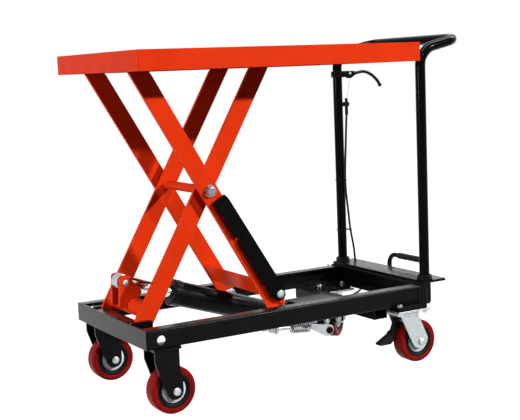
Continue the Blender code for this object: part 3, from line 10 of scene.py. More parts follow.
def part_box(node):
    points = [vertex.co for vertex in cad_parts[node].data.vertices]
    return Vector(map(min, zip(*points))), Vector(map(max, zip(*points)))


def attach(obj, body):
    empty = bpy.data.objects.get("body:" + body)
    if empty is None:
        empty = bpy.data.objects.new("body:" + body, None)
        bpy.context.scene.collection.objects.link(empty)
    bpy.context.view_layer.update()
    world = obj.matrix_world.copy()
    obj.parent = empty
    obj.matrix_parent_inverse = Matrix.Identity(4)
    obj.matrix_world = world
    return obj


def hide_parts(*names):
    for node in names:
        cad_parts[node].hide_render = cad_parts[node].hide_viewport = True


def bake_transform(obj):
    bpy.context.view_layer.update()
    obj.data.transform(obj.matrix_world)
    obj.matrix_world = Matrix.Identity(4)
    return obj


bl_info = {
    "name": "Scissor lift table",
    "version": (1, 0, 0),
    "blender": (4, 5, 0),
    "location": "View3D > Sidebar > Lift table",
    "description": "Dresses the solids of a hand-pumped scissor lift table",
    "category": "Object",
}

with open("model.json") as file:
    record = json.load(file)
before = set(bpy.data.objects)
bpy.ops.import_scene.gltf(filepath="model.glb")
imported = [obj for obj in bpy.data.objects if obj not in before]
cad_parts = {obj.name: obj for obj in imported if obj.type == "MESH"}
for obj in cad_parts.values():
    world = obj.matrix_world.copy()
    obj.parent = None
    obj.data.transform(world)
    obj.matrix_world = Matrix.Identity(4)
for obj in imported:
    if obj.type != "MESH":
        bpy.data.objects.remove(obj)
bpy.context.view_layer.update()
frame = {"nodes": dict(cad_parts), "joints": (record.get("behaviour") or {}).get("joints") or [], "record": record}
BODY_OF = {node: body for body, nodes in frame["record"]["behaviour"]["bodies"].items() for node in nodes}
SIDES = (("near", -1), ("far", 1))
MM = 0.001
ACROSS = Vector((0, 1, 0))
UPRIGHT = Vector((0, 0, 1))


def linear(code):
    """Turn an sRGB hex colour into linear RGBA."""
    channels = [int(code[start:start + 2], 16) / 255 for start in (1, 3, 5)]
    return tuple(channel / 12.92 if channel <= 0.04045 else ((channel + 0.055) / 1.055) ** 2.4
                 for channel in channels) + (1.0,)


def middle(node):
    """Centre of a solid's box."""
    low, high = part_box(node)
    return (low + high) / 2


MID_X = middle("platform").x


def at(x, y, z):
    """A point measured from the floor under the platform's centre."""
    return Vector((x + MID_X, y, z))


class CartFinishes(bpy.types.PropertyGroup):
    """Colours of the cart's finishes"""

    red: FloatVectorProperty(name="Red coat", description="Powder coat of the platform and arms",
                             subtype="COLOR", size=4, min=0, max=1, default=linear("#E2370F"))
    black: FloatVectorProperty(name="Black coat", description="Powder coat of the chassis and handle",
                               subtype="COLOR", size=4, min=0, max=1, default=linear("#090909"))
    tread: FloatVectorProperty(name="Wheel tread", description="Cast polyurethane of the wheels",
                               subtype="COLOR", size=4, min=0, max=1, default=linear("#8A1513"))
    zinc: FloatVectorProperty(name="Zinc plate", description="Plated forks, bolts and links",
                              subtype="COLOR", size=4, min=0, max=1, default=linear("#B0B6B8"))


class CartSizes(bpy.types.PropertyGroup):
    """Sizes of the cart's small detail"""

    plate_edge: FloatProperty(name="Plate edge", description="Rounding of cut plate edges",
                              subtype="DISTANCE", unit="LENGTH", default=0.7 * MM)
    pan_edge: FloatProperty(name="Pan edge", description="Rounding of the pressed platform's edges",
                            subtype="DISTANCE", unit="LENGTH", default=1.2 * MM)
    bolt_head: FloatProperty(name="Bolt head", description="Half a caster bolt's width across its corners",
                             subtype="DISTANCE", unit="LENGTH", default=6.2 * MM)
    bead: FloatProperty(name="Weld bead", description="Half the width of a weld bead",
                        subtype="DISTANCE", unit="LENGTH", default=2.2 * MM)
    bead_pitch: FloatProperty(name="Weld ripple", description="Distance between the ripples of a weld bead",
                              subtype="DISTANCE", unit="LENGTH", default=2.0 * MM)
    wheel_steps: IntProperty(name="Wheel steps", description="Steps round a wheel",
                             default=96, min=24, max=256)


def add_node(tree, kind, inputs=None, **settings):
    """Add a node, set its properties, and set or link its inputs."""
    made = tree.nodes.new(kind)
    for name, value in settings.items():
        setattr(made, name, value)
    for socket, value in (inputs or {}).items():
        if isinstance(value, bpy.types.NodeSocket):
            tree.links.new(value, made.inputs[socket])
        else:
            made.inputs[socket].default_value = value
    return made


def blank_material(name):
    """A material with an empty tree, its Principled shader and its Object coordinates."""
    material = bpy.data.materials.new(name)
    material.use_nodes = True
    tree = material.node_tree
    tree.nodes.clear()
    shader = add_node(tree, "ShaderNodeBsdfPrincipled")
    add_node(tree, "ShaderNodeOutputMaterial", {"Surface": shader.outputs["BSDF"]})
    coords = add_node(tree, "ShaderNodeTexCoord").outputs["Object"]
    return material, tree, shader, coords


def shade(colour, factor):
    """A colour made lighter or darker."""
    return tuple(min(1.0, channel * factor) for channel in colour[:3]) + (1.0,)


def mottled(tree, coords, cell, low, high, detail=3.0):
    """A value that drifts between low and high over cells of a size in metres."""
    noise = add_node(tree, "ShaderNodeTexNoise", {"Vector": coords, "Scale": 1 / cell, "Detail": detail})
    return add_node(tree, "ShaderNodeMapRange", {"Value": noise.outputs["Fac"], "From Min": 0.3,
                                                 "From Max": 0.7, "To Min": low,
                                                 "To Max": high}).outputs["Result"]


def two_tone(tree, shader, factor, first, second):
    """Run the base colour between two colours."""
    ramp = add_node(tree, "ShaderNodeValToRGB", {"Fac": factor})
    ramp.color_ramp.elements[0].color = first
    ramp.color_ramp.elements[1].color = second
    tree.links.new(ramp.outputs["Color"], shader.inputs["Base Color"])


def bumped(tree, shader, height, distance):
    """Bump the surface by a height whose full step is a distance in metres."""
    bump = add_node(tree, "ShaderNodeBump", {"Height": height, "Distance": distance, "Strength": 1.0})
    tree.links.new(bump.outputs["Normal"], shader.inputs["Normal"])


def tones(setting, darker, lighter):
    """Two shades of one of the cart's colours."""
    colour = getattr(bpy.context.scene.cart_finishes, setting)
    return shade(colour, darker), shade(colour, lighter)


def surface(name, colours, rough, cells, relief, detail=3.0, sockets=None):
    """A material whose colour, roughness and grain drift, each over cells of its own size in millimetres."""
    material, tree, shader, coords = blank_material(name)
    colour_cell, rough_cell, grain_cell = (cell * MM for cell in cells)
    two_tone(tree, shader, mottled(tree, coords, colour_cell, 0, 1), *colours)
    tree.links.new(mottled(tree, coords, rough_cell, *rough), shader.inputs["Roughness"])
    bumped(tree, shader, mottled(tree, coords, grain_cell, 0, 1, detail), relief * MM)
    for socket, value in (sockets or {}).items():
        shader.inputs[socket].default_value = value
    return material


def red_powder_coat(name):
    """Baked gloss powder coat on pressed steel."""
    # It gives an even orange red with a soft orange-peel ripple, drawn at 3 mm so that it shows.
    return surface(name, tones("red", 0.93, 1.05), rough=(0.27, 0.40), cells=(60, 25, 3), relief=0.006,
                   detail=1.0, sockets={"Specular IOR Level": 0.03})


def black_powder_coat(name, depth=1.0, rough=(0.20, 0.34), sheen=(0.06, 0.42)):
    """Gloss black powder coat on rolled steel."""
    # It gives a deep black with a faint orange peel, drawn at 3 mm, that shines where it is seen at a slant.
    material = surface(name, tones("black", 0.75 * depth, 1.5 * depth), rough, cells=(45, 18, 3),
                       relief=0.006, detail=1.0, sockets={"Specular IOR Level": sum(sheen) / 2})
    tree = material.node_tree
    facing = add_node(tree, "ShaderNodeLayerWeight", {"Blend": 0.5}).outputs["Facing"]
    gloss = add_node(tree, "ShaderNodeMapRange", {"Value": facing, "From Min": 0.42, "From Max": 0.88,
                                                  "To Min": sheen[0], "To Max": sheen[1]})
    tree.links.new(gloss.outputs["Result"], tree.nodes["Principled BSDF"].inputs["Specular IOR Level"])
    return material


def deep_black_coat(name):
    """Gloss black powder coat on drawn tube and on the prop."""
    # It gives a deeper black than the plates have, darkened in part as painted shade, with a smoother gloss and
    # sharper highlights.
    return black_powder_coat(name, depth=0.30, rough=(0.11, 0.17), sheen=(0.035, 0.30))


def bright_zinc(name):
    """Bright zinc electroplate on pressed steel."""
    # It gives a cool light grey metal, cloudy over a few millimetres.
    return surface(name, tones("zinc", 0.82, 1.1), rough=(0.26, 0.46), cells=(9, 6, 1.2), relief=0.012,
                   sockets={"Metallic": 1.0})


def spring_steel(name):
    """Drawn spring wire and plain turned steel."""
    # It gives a dark grey metal whose turns catch the light.
    return surface(name, (linear("#63686C"), linear("#868B8F")), rough=(0.22, 0.38), cells=(6, 3, 0.8),
                   relief=0.006, sockets={"Metallic": 1.0})


def hard_chrome(name):
    """Ground and chromed piston rod."""
    # It gives a near mirror, barely broken by its grain.
    return surface(name, (linear("#CFD2D6"), linear("#E4E6E8")), rough=(0.07, 0.14), cells=(14, 2, 0.8),
                   relief=0.004, sockets={"Metallic": 1.0})


def cast_polyurethane(name):
    """Polyurethane tread cast on to its core."""
    # It gives a deep red that lets a little light in, with soft flow clouds and a fine grain.
    return surface(name, tones("tread", 0.80, 1.15), rough=(0.22, 0.42), cells=(22, 5, 1.5), relief=0.015,
                   sockets={"Subsurface Weight": 0.12, "Subsurface Radius": (2.5 * MM, 0.4 * MM, 0.3 * MM),
                            "Subsurface Scale": 1.0, "Specular IOR Level": 0.03})


def moulded(name, dark, light, rough, specular, grain=0.9):
    """A moulded plastic or rubber of two close colours, with a grain in millimetres."""
    return surface(name, (linear(dark), linear(light)), rough, cells=(12, 4, grain), relief=0.02,
                   sockets={"Specular IOR Level": specular})


def nylon_core(name):
    """Moulded black nylon wheel core."""
    # It gives a dull black with a fine mould grain.
    return moulded(name, "#060606", "#0D0D0E", rough=(0.42, 0.60), specular=0.08)


def hub_cover(name):
    """Moulded pale grey nylon thread guard."""
    # It gives a cool, smooth, almost glossy grey.
    return moulded(name, "#D4DCE4", "#E8EEF4", rough=(0.28, 0.42), specular=0.5)


def black_vinyl(name):
    """Dipped and extruded black vinyl of the sleeve, the cable and the brakes' feet."""
    # It gives a soft, dull sheen over a leathery grain.
    return moulded(name, "#080808", "#101012", rough=(0.38, 0.55), specular=0.14, grain=1.4)


FINISHES = {
    "red_powder_coat": (red_powder_coat, "red_paint"),
    "black_powder_coat": (black_powder_coat, "black_paint"),
    "deep_black_coat": (deep_black_coat, "black_paint"),
    "bright_zinc": (bright_zinc, "zinc_plate"),
    "spring_steel": (spring_steel, "zinc_plate"),
    "hard_chrome": (hard_chrome, "chrome_rod"),
    "cast_polyurethane": (cast_polyurethane, "red_polyurethane"),
    "nylon_core": (nylon_core, "black_rubber"),
    "hub_cover": (hub_cover, "zinc_plate"),
    "black_vinyl": (black_vinyl, "black_rubber"),
}


def finish(name):
    """The material of a finish, made when it is first asked for."""
    return bpy.data.materials.get(name) or FINISHES[name][0](name)


def settle(piece, body, coat, *nodes):
    """Give a piece its finish, and let it ride on a body in place of the solids it stands for."""
    piece.data.materials.clear()
    piece.data.materials.append(finish(coat))
    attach(piece, body)
    if nodes:
        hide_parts(*nodes)
    return piece


def piece_from(name, mesh):
    """Link a mesh as a piece of the cart."""
    mesh.name = name
    piece = bpy.data.objects.new(name, mesh)
    bpy.context.scene.collection.objects.link(piece)
    return piece


def place(name, mesh, body, coat, *nodes):
    """Link a mesh as a piece, with its finish and its body."""
    return settle(piece_from(name, mesh), body, coat, *nodes)


def smooth_by_angle(mesh, limit=38):
    """Shade smooth, and keep the edges sharper than a limit in degrees."""
    mesh.shade_smooth()
    mesh.set_sharp_from_angle(angle=radians(limit))
    return mesh


def plain_mesh(bm):
    """Turn an edited mesh into a plain one, as it is."""
    mesh = bpy.data.meshes.new("shape")
    bm.to_mesh(mesh)
    bm.free()
    return mesh


def mesh_from(bm):
    """Turn an edited mesh into a plain one, merged, with its normals outward."""
    bmesh.ops.remove_doubles(bm, verts=bm.verts, dist=0.01 * MM)
    bmesh.ops.recalc_face_normals(bm, faces=bm.faces)
    return smooth_by_angle(plain_mesh(bm))


def joined(*meshes):
    """Several meshes in one."""
    bm = bmesh.new()
    for mesh in meshes:
        bm.from_mesh(mesh)
    return smooth_by_angle(plain_mesh(bm))


def mesh_seen(piece):
    """The mesh that an object's modifiers or curve settings make."""
    bpy.context.view_layer.update()
    return bpy.data.meshes.new_from_object(piece.evaluated_get(bpy.context.evaluated_depsgraph_get()))


def evaluated(piece):
    """Replace a piece's modifiers by the mesh that they make."""
    mesh = mesh_seen(piece)
    piece.modifiers.clear()
    piece.data = mesh
    return piece


def copied(node):
    """An editable copy of a solid's mesh, merged, with its flat faces whole."""
    bm = bmesh.new()
    bm.from_mesh(frame["nodes"][node].data)
    bmesh.ops.remove_doubles(bm, verts=bm.verts, dist=0.02 * MM)
    bmesh.ops.dissolve_limit(bm, angle_limit=radians(1.0), verts=bm.verts, edges=bm.edges)
    return bm


def dress(node, coat, edge=None, mesh=None):
    """Take a solid's place with its copy, or with another mesh, whose cut edges are eased."""
    piece = piece_from(node + "_dressed", mesh or mesh_from(copied(node)))
    easing = piece.modifiers.new("eased edges", "BEVEL")
    easing.width = edge or bpy.context.scene.cart_sizes.plate_edge
    easing.segments = 2
    easing.limit_method = "ANGLE"
    easing.angle_limit = radians(40)
    easing.use_clamp_overlap = True
    easing.harden_normals = True
    evaluated(piece)
    return settle(piece, BODY_OF[node], coat, node)


def round_points(radius, steps):
    """Points (x, y) evenly round a circle."""
    angles = [2 * pi * step / steps for step in range(steps)]
    return [(radius * cos(angle), radius * sin(angle)) for angle in angles]


def turned(profile, centre, axis, steps=64, ring=False):
    """Turn a profile of (along, radius) points about an axis. A ring's profile closes on itself."""
    bm = bmesh.new()
    loops = []
    for along, radius in profile:
        spots = round_points(radius, steps) if radius > 0 else [(0, 0)]
        loops.append([bm.verts.new((x, y, along)) for x, y in spots])
    pairs = list(zip(loops, loops[1:]))
    if ring:
        pairs.append((loops[-1], loops[0]))
    for first, second in pairs:
        for step in range(steps):
            after = (step + 1) % steps
            corners = [first[step % len(first)], first[after % len(first)],
                       second[after % len(second)], second[step % len(second)]]
            bm.faces.new([corner for index, corner in enumerate(corners) if corner not in corners[:index]])
    turn = Vector(axis).to_track_quat("Z", "Y").to_matrix().to_4x4()
    bmesh.ops.transform(bm, matrix=Matrix.Translation(centre) @ turn, verts=bm.verts)
    return mesh_from(bm)


def mirrored(half, length):
    """A profile from one end to the middle, and the same again from the middle to the other end."""
    return [*half, *((length - along, radius) for along, radius in reversed(half))]


def round_bar(start, axis, length, radius, ease, steps=64, bore=0):
    """A round bar with eased ends, or a ring where it has a bore."""
    knee = ease * 0.3
    half = [(0, bore), (0, radius - ease), (knee, radius - knee), (ease, radius)]
    return turned(mirrored(half, length), start, axis, steps, bore > 0)


def ball(centre, radius, steps=32):
    """A ball turned from a half circle."""
    angles = [pi * step / steps for step in range(1, steps)]
    profile = [(-radius * cos(angle), radius * sin(angle)) for angle in angles]
    return turned([(-radius, 0)] + profile + [(radius, 0)], centre, UPRIGHT, 2 * steps)


def circle(centre, axis, radius, steps=36):
    """Points of a closed circle about an axis."""
    turn = Vector(axis).to_track_quat("Z", "Y")
    spots = [Vector(centre) + turn @ Vector((x, y, 0)) for x, y in round_points(radius, steps)]
    return spots + spots[:1]


def swing(first, last, share):
    """A point on the arc between two spokes of one length."""
    angle = first.angle(last)
    return (first * sin((1 - share) * angle) + last * sin(share * angle)) / sin(angle)


def arc(corner, before, after, setback, steps):
    """Points of the arc that touches both legs of a corner at a setback from it."""
    start = (before - corner).normalized()
    end = (after - corner).normalized()
    centre = corner + (start + end).normalized() * (setback / cos(start.angle(end) / 2))
    first = corner + start * setback - centre
    last = corner + end * setback - centre
    return [centre + swing(first, last, step / steps) for step in range(steps + 1)]


def full_setback(corner, before, after, radius):
    """How far from a corner the arc of a radius touches its legs."""
    return radius / tan((before - corner).angle(after - corner) / 2)


def bent_path(corners, radius, steps):
    """Points along straight runs whose corners are bent to a radius, as far as the runs have room for it."""
    corners = [Vector(corner) for corner in corners]
    points = [corners[0]]
    for before, corner, after in zip(corners, corners[1:], corners[2:]):
        room = 0.49 * min((before - corner).length, (after - corner).length)
        setback = min(full_setback(corner, before, after, radius), room)
        points += arc(corner, before, after, setback, steps)
    return points + [corners[-1]]


def rounded_outline(corners, steps=8):
    """Outline of (x, z) points from corners of (x, z, radius)."""
    outline = []
    spots = [Vector((x, z)) for x, z, _ in corners]
    for index, (_, _, radius) in enumerate(corners):
        corner = spots[index]
        before = spots[index - 1]
        after = spots[(index + 1) % len(spots)]
        if radius == 0:
            outline.append(corner)
        else:
            outline += arc(corner, before, after, full_setback(corner, before, after, radius), steps)
    return [tuple(point) for point in outline]


def flowing_path(corners, steps=10):
    """Points of a smooth curve through all the corners."""
    corners = [Vector(corner) for corner in corners]
    padded = [2 * corners[0] - corners[1]] + corners + [2 * corners[-1] - corners[-2]]
    points = []
    for before, start, end, after in zip(padded, padded[1:], padded[2:], padded[3:]):
        pull = end - before
        bend = 2 * before - 5 * start + 4 * end - after
        twist = 3 * start - before - 3 * end + after
        for share in (step / steps for step in range(steps)):
            points.append(start + pull * (share / 2) + bend * (share ** 2 / 2) + twist * (share ** 3 / 2))
    return points + [corners[-1]]


def pipe(points, radius, resolution=6):
    """A round bar or tube along points, with flat ends."""
    curve = bpy.data.curves.new("route", "CURVE")
    curve.dimensions = "3D"
    curve.bevel_depth = radius
    curve.bevel_resolution = resolution
    curve.use_fill_caps = True
    line = curve.splines.new("POLY")
    line.points.add(len(points) - 1)
    for spot, point in zip(line.points, points):
        spot.co = (*point, 1.0)
    holder = bpy.data.objects.new("route", curve)
    bpy.context.scene.collection.objects.link(holder)
    bm = bmesh.new()
    bm.from_mesh(mesh_seen(holder))
    bpy.data.objects.remove(holder)
    bpy.data.curves.remove(curve)
    return mesh_from(bm)


def outline_plate(corners, low, high, edge):
    """A flat plate standing along the cart, from its outline of (x, z) points, its edges eased."""
    bm = bmesh.new()
    face = bm.faces.new([bm.verts.new((x, low, z)) for x, z in corners])
    grown = bmesh.ops.extrude_face_region(bm, geom=[face])["geom"]
    risen = [item for item in grown if isinstance(item, bmesh.types.BMVert)]
    bmesh.ops.translate(bm, vec=ACROSS * (high - low), verts=risen)
    bmesh.ops.recalc_face_normals(bm, faces=bm.faces)
    rims = [rim for rim in bm.edges if rim.is_manifold and rim.calc_face_angle() > radians(60)]
    bmesh.ops.bevel(bm, geom=rims, offset=edge, segments=2, profile=0.5, affect="EDGES", clamp_overlap=True)
    return mesh_from(bm)


def new_tree(name, sockets):
    """An empty Geometry Nodes tree with its inputs, and the outputs of its input node."""
    tree = bpy.data.node_groups.new(name, "GeometryNodeTree")
    tree.interface.new_socket("Geometry", in_out="INPUT", socket_type="NodeSocketGeometry")
    for label, kind in sockets:
        tree.interface.new_socket(label, in_out="INPUT", socket_type="NodeSocket" + kind)
    tree.interface.new_socket("Geometry", in_out="OUTPUT", socket_type="NodeSocketGeometry")
    return tree, add_node(tree, "NodeGroupInput").outputs


def close_tree(tree, geometry, given):
    """End a tree with real geometry that carries the given material."""
    real = add_node(tree, "GeometryNodeRealizeInstances", {"Geometry": geometry})
    finished = add_node(tree, "GeometryNodeSetMaterial", {"Geometry": real.outputs["Geometry"],
                                                          "Material": given["Material"]})
    add_node(tree, "NodeGroupOutput", {"Geometry": finished.outputs["Geometry"]})
    return tree


def tree_named(name, maker):
    """A tree, made when it is first asked for."""
    return bpy.data.node_groups.get(name) or maker()


def grow(name, mesh, tree, **inputs):
    """Run a tree on a mesh and keep what it makes as a plain piece."""
    piece = piece_from(name, mesh)
    growing = piece.modifiers.new(tree.name, "NODES")
    growing.node_group = tree
    labels = {item.name: item.identifier for item in tree.interface.items_tree if item.in_out == "INPUT"}
    for label, value in inputs.items():
        growing[labels[label.replace("_", " ").capitalize()]] = value
    evaluated(piece)
    smooth_by_angle(piece.data)
    return piece


HEAD_CHAMFER = 0.2
HEAD_CROWN = 0.84
WASHER_FACETS = 28
THREAD_FACETS = 20


def bolt_tree():
    """Chamfered hex heads on washers, with the end of the thread, on every point along its direction."""
    tree, given = new_tree("hex_bolts", (("Head radius", "Float"), ("Head height", "Float"),
                                         ("Washer radius", "Float"), ("Washer thickness", "Float"),
                                         ("Thread radius", "Float"), ("Thread length", "Float"),
                                         ("Material", "Material")))
    flats, chamfer, crown = (
        add_node(tree, "ShaderNodeMath", {0: given[size], 1: share}, operation="MULTIPLY").outputs[0]
        for size, share in (("Head height", 1 - HEAD_CHAMFER), ("Head height", HEAD_CHAMFER),
                            ("Head radius", HEAD_CROWN)))
    crown_z = add_node(tree, "ShaderNodeMath", {0: given["Washer thickness"], 1: flats}).outputs[0]
    bolt = add_node(tree, "GeometryNodeJoinGeometry")
    for facets, bottom, top, depth, foot in (
            (WASHER_FACETS, given["Washer radius"], given["Washer radius"], given["Washer thickness"], 0),
            (THREAD_FACETS, given["Thread radius"], given["Thread radius"], given["Thread length"], 0),
            (6, given["Head radius"], given["Head radius"], flats, given["Washer thickness"]),
            (6, given["Head radius"], crown, chamfer, crown_z)):
        cone = add_node(tree, "GeometryNodeMeshCone", {"Vertices": facets, "Radius Top": top,
                                                       "Radius Bottom": bottom, "Depth": depth})
        lift = add_node(tree, "ShaderNodeCombineXYZ", {"Z": foot})
        raised = add_node(tree, "GeometryNodeTransform", {"Geometry": cone.outputs["Mesh"],
                                                          "Translation": lift.outputs["Vector"]})
        tree.links.new(raised.outputs[0], bolt.inputs[0])
    direction = add_node(tree, "GeometryNodeInputNamedAttribute", {"Name": "direction"},
                         data_type="FLOAT_VECTOR").outputs["Attribute"]
    aim = add_node(tree, "FunctionNodeAlignRotationToVector", {"Vector": direction}, axis="Z")
    placed = add_node(tree, "GeometryNodeInstanceOnPoints", {"Points": given["Geometry"],
                                                             "Instance": bolt.outputs[0],
                                                             "Rotation": aim.outputs["Rotation"]})
    return close_tree(tree, placed.outputs["Instances"], given)


RIPPLE_LEAST = (0.85, 0.85, 0.75)
RIPPLE_MOST = (1.1, 1.1, 0.95)
RIPPLE_SEED = 7


def weld_tree():
    """Overlapping weld ripples along lines."""
    tree, given = new_tree("weld_beads", (("Bead", "Float"), ("Ripple", "Float"), ("Material", "Material")))
    line = add_node(tree, "GeometryNodeMeshToCurve", {"Mesh": given["Geometry"]})
    even = add_node(tree, "GeometryNodeResampleCurve", {"Curve": line.outputs["Curve"],
                                                        "Length": given["Ripple"]}, mode="LENGTH")
    drop = add_node(tree, "GeometryNodeMeshIcoSphere", {"Radius": given["Bead"], "Subdivisions": 2})
    uneven = add_node(tree, "FunctionNodeRandomValue", {"Min": RIPPLE_LEAST, "Max": RIPPLE_MOST,
                                                        "Seed": RIPPLE_SEED}, data_type="FLOAT_VECTOR")
    placed = add_node(tree, "GeometryNodeInstanceOnPoints", {"Points": even.outputs["Curve"],
                                                             "Instance": drop.outputs["Mesh"],
                                                             "Scale": uneven.outputs["Value"]})
    return close_tree(tree, placed.outputs["Instances"], given)


RIB_STEP = 0.5 * MM


def rib_tree():
    """A grip whose radius swells in ribs along lines."""
    tree, given = new_tree("ribbed_grip", (("Radius", "Float"), ("Rib height", "Float"),
                                           ("Rib pitch", "Float"), ("Material", "Material")))
    line = add_node(tree, "GeometryNodeMeshToCurve", {"Mesh": given["Geometry"]})
    even = add_node(tree, "GeometryNodeResampleCurve", {"Curve": line.outputs["Curve"], "Length": RIB_STEP},
                    mode="LENGTH")
    length = add_node(tree, "GeometryNodeSplineParameter").outputs["Length"]
    turns = add_node(tree, "ShaderNodeMath", {0: length, 1: given["Rib pitch"]}, operation="DIVIDE")
    angle = add_node(tree, "ShaderNodeMath", {0: turns.outputs[0], 1: 2 * pi}, operation="MULTIPLY")
    wave = add_node(tree, "ShaderNodeMath", {0: angle.outputs[0]}, operation="SINE")
    swell = add_node(tree, "ShaderNodeMath", {0: wave.outputs[0], 1: given["Rib height"], 2: given["Radius"]},
                     operation="MULTIPLY_ADD")
    ring = add_node(tree, "GeometryNodeCurvePrimitiveCircle", {"Resolution": 32, "Radius": 1.0},
                    mode="RADIUS")
    grip = add_node(tree, "GeometryNodeCurveToMesh", {"Curve": even.outputs["Curve"],
                                                      "Profile Curve": ring.outputs["Curve"],
                                                      "Scale": swell.outputs[0], "Fill Caps": True})
    return close_tree(tree, grip.outputs["Mesh"], given)


def lines_mesh(lines):
    """A mesh of edges along lines of points."""
    points = []
    edges = []
    for line in lines:
        edges += [(len(points) + step, len(points) + step + 1) for step in range(len(line) - 1)]
        points += [tuple(point) for point in line]
    mesh = bpy.data.meshes.new("lines")
    mesh.from_pydata(points, edges, [])
    return mesh


def weld(name, lines, body, coat, bead=None):
    """Weld beads along lines on one body."""
    sizes = bpy.context.scene.cart_sizes
    piece = grow(name, lines_mesh(lines), tree_named("weld_beads", weld_tree), bead=bead or sizes.bead,
                 ripple=sizes.bead_pitch, material=finish(coat))
    return settle(piece, body, coat)


WASHER_THICK = 1.4 * MM
WASHER_SHARE = 1.2
THREAD_SHARE = 0.5


def bolts(name, spots, body, coat, head, height, thread_length, washer=None):
    """Hex bolts or nuts at (point, direction) spots on one body."""
    mesh = bpy.data.meshes.new("spots")
    mesh.from_pydata([tuple(point) for point, _ in spots], [], [])
    directions = mesh.attributes.new("direction", "FLOAT_VECTOR", "POINT")
    for entry, (_, direction) in zip(directions.data, spots):
        entry.vector = Vector(direction)
    piece = grow(name, mesh, tree_named("hex_bolts", bolt_tree), head_radius=head, head_height=height,
                 washer_radius=washer or head * WASHER_SHARE, washer_thickness=WASHER_THICK,
                 thread_radius=head * THREAD_SHARE, thread_length=thread_length, material=finish(coat))
    return settle(piece, body, coat)


def lying(node):
    """Start, length and radius of a round solid that lies across the cart."""
    low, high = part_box(node)
    start = Vector(((low.x + high.x) / 2, low.y, (low.z + high.z) / 2))
    return start, high.y - low.y, (high.z - low.z) / 2


def cross_bar(node, coat, ease=0.8 * MM):
    """Turn a bar that lies across the cart, from its solid's box."""
    start, length, radius = lying(node)
    mesh = round_bar(start, ACROSS, length, radius, ease, steps=72)
    place(node + "_turned", mesh, BODY_OF[node], coat, node)


def roller(node, bore, coat):
    """Turn a scissor roller with eased rims, from its solid's box."""
    start, length, radius = lying(node)
    mesh = round_bar(start, ACROSS, length, radius, ease=1.0 * MM, bore=bore)
    place(node + "_turned", mesh, BODY_OF[node], coat, node)


def face_y(node, side):
    """Where a solid's box ends, towards one side of the cart."""
    low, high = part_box(node)
    return high.y if side > 0 else low.y


def foot_line(node, side, z):
    """A line along the outer face of a solid at one height, for the weld at its foot."""
    low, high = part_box(node)
    y = face_y(node, side)
    return [Vector((low.x, y, z)), Vector((high.x, y, z))]


def joint(name):
    """Place and axis of a joint of the record."""
    found = [entry for entry in frame["joints"] if entry["name"] == name][0]
    return Vector(found["pos_m"]), Vector(found["axis"]).normalized()


class CART_OT_platform(bpy.types.Operator):
    """Dress the pressed platform and the lugs under it"""

    bl_idname = "cart.platform"
    bl_label = "Platform"

    def execute(self, context):
        dress("platform", "red_powder_coat", context.scene.cart_sizes.pan_edge)
        lines = []
        for label, side in SIDES:
            lug = "table_lug_" + label
            dress(lug, "red_powder_coat")
            lines.append(foot_line(lug, side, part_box(lug)[1].z))
        weld("table_lug_welds", lines, "table", "red_powder_coat")
        return {"FINISHED"}


FRAME_EDGE = 0.9 * MM
ROLLER_BORE = 7.2 * MM
NUT_R = 11.3 * MM
NUT_WASHER = 2.2 * MM
NUT_BORE = 6.0 * MM
CAP_LENGTH = 3.0 * MM
CAP_SUNK = 2.7 * MM
CAP_PROUD = 0.15 * MM


class CART_OT_scissor(bpy.types.Operator):
    """Dress the crossed arms, their shafts, rollers, cross plate and maintenance prop"""

    bl_idname = "cart.scissor"
    bl_label = "Scissor"

    def execute(self, context):
        for label, side in SIDES:
            for node in ("inner_arm_", "outer_arm_", "crank_plate_"):
                dress(node + label, "red_powder_coat", FRAME_EDGE)
            self.centre_nut("centre_nut_" + label, side)
            for node in ("top_roller_", "base_roller_"):
                roller(node + label, ROLLER_BORE, "bright_zinc")
        dress("cross_plate", "red_powder_coat")
        # The prop takes the darker black coat, in part painted shade.
        dress("prop_bar", "deep_black_coat")
        for node in ("lower_cross_tube", "centre_shaft"):
            cross_bar(node, "red_powder_coat")
        for node in ("crank_pin", "prop_bolt"):
            cross_bar(node, "bright_zinc")
        self.cross_tube_welds()
        return {"FINISHED"}

    def centre_nut(self, node, side):
        """A hex nut on a wide washer at the crossing of the arms, and the bright end of the shaft in it."""
        body = BODY_OF[node]
        outward = ACROSS * side
        start, depth, radius = lying(node)
        start.y = face_y(node, -side)
        washer = round_bar(start, outward, NUT_WASHER, radius, ease=0.4 * MM, steps=48, bore=NUT_BORE)
        place(node + "_washer", washer, body, "spring_steel", node)
        bolts(node + "_hex", [(start + outward * 1.0 * MM, outward)], body, "spring_steel", NUT_R,
              height=depth - 3.6 * MM, thread_length=depth - 1.2 * MM)
        _, _, shaft_r = lying("centre_shaft")
        start.y = face_y("centre_shaft", side) - side * CAP_SUNK
        cap = round_bar(start, outward, CAP_LENGTH, shaft_r + CAP_PROUD, ease=0.6 * MM, steps=48)
        place(node + "_cap", cap, BODY_OF["centre_shaft"], "spring_steel")

    def cross_tube_welds(self):
        """Welds of the cross tube to the inner arms."""
        tube, _, radius = lying("lower_cross_tube")
        lines = []
        for label, side in SIDES:
            tube.y = face_y("inner_arm_" + label, -side)
            lines.append(circle(tube, ACROSS, radius))
        weld("cross_tube_welds", lines, "inner_arms", "red_powder_coat")


DECK_TOP = 0.1975
COLLAR_R = 0.018
COLLAR_TOP = 0.2090
COLLAR_LEAST = 5 * MM


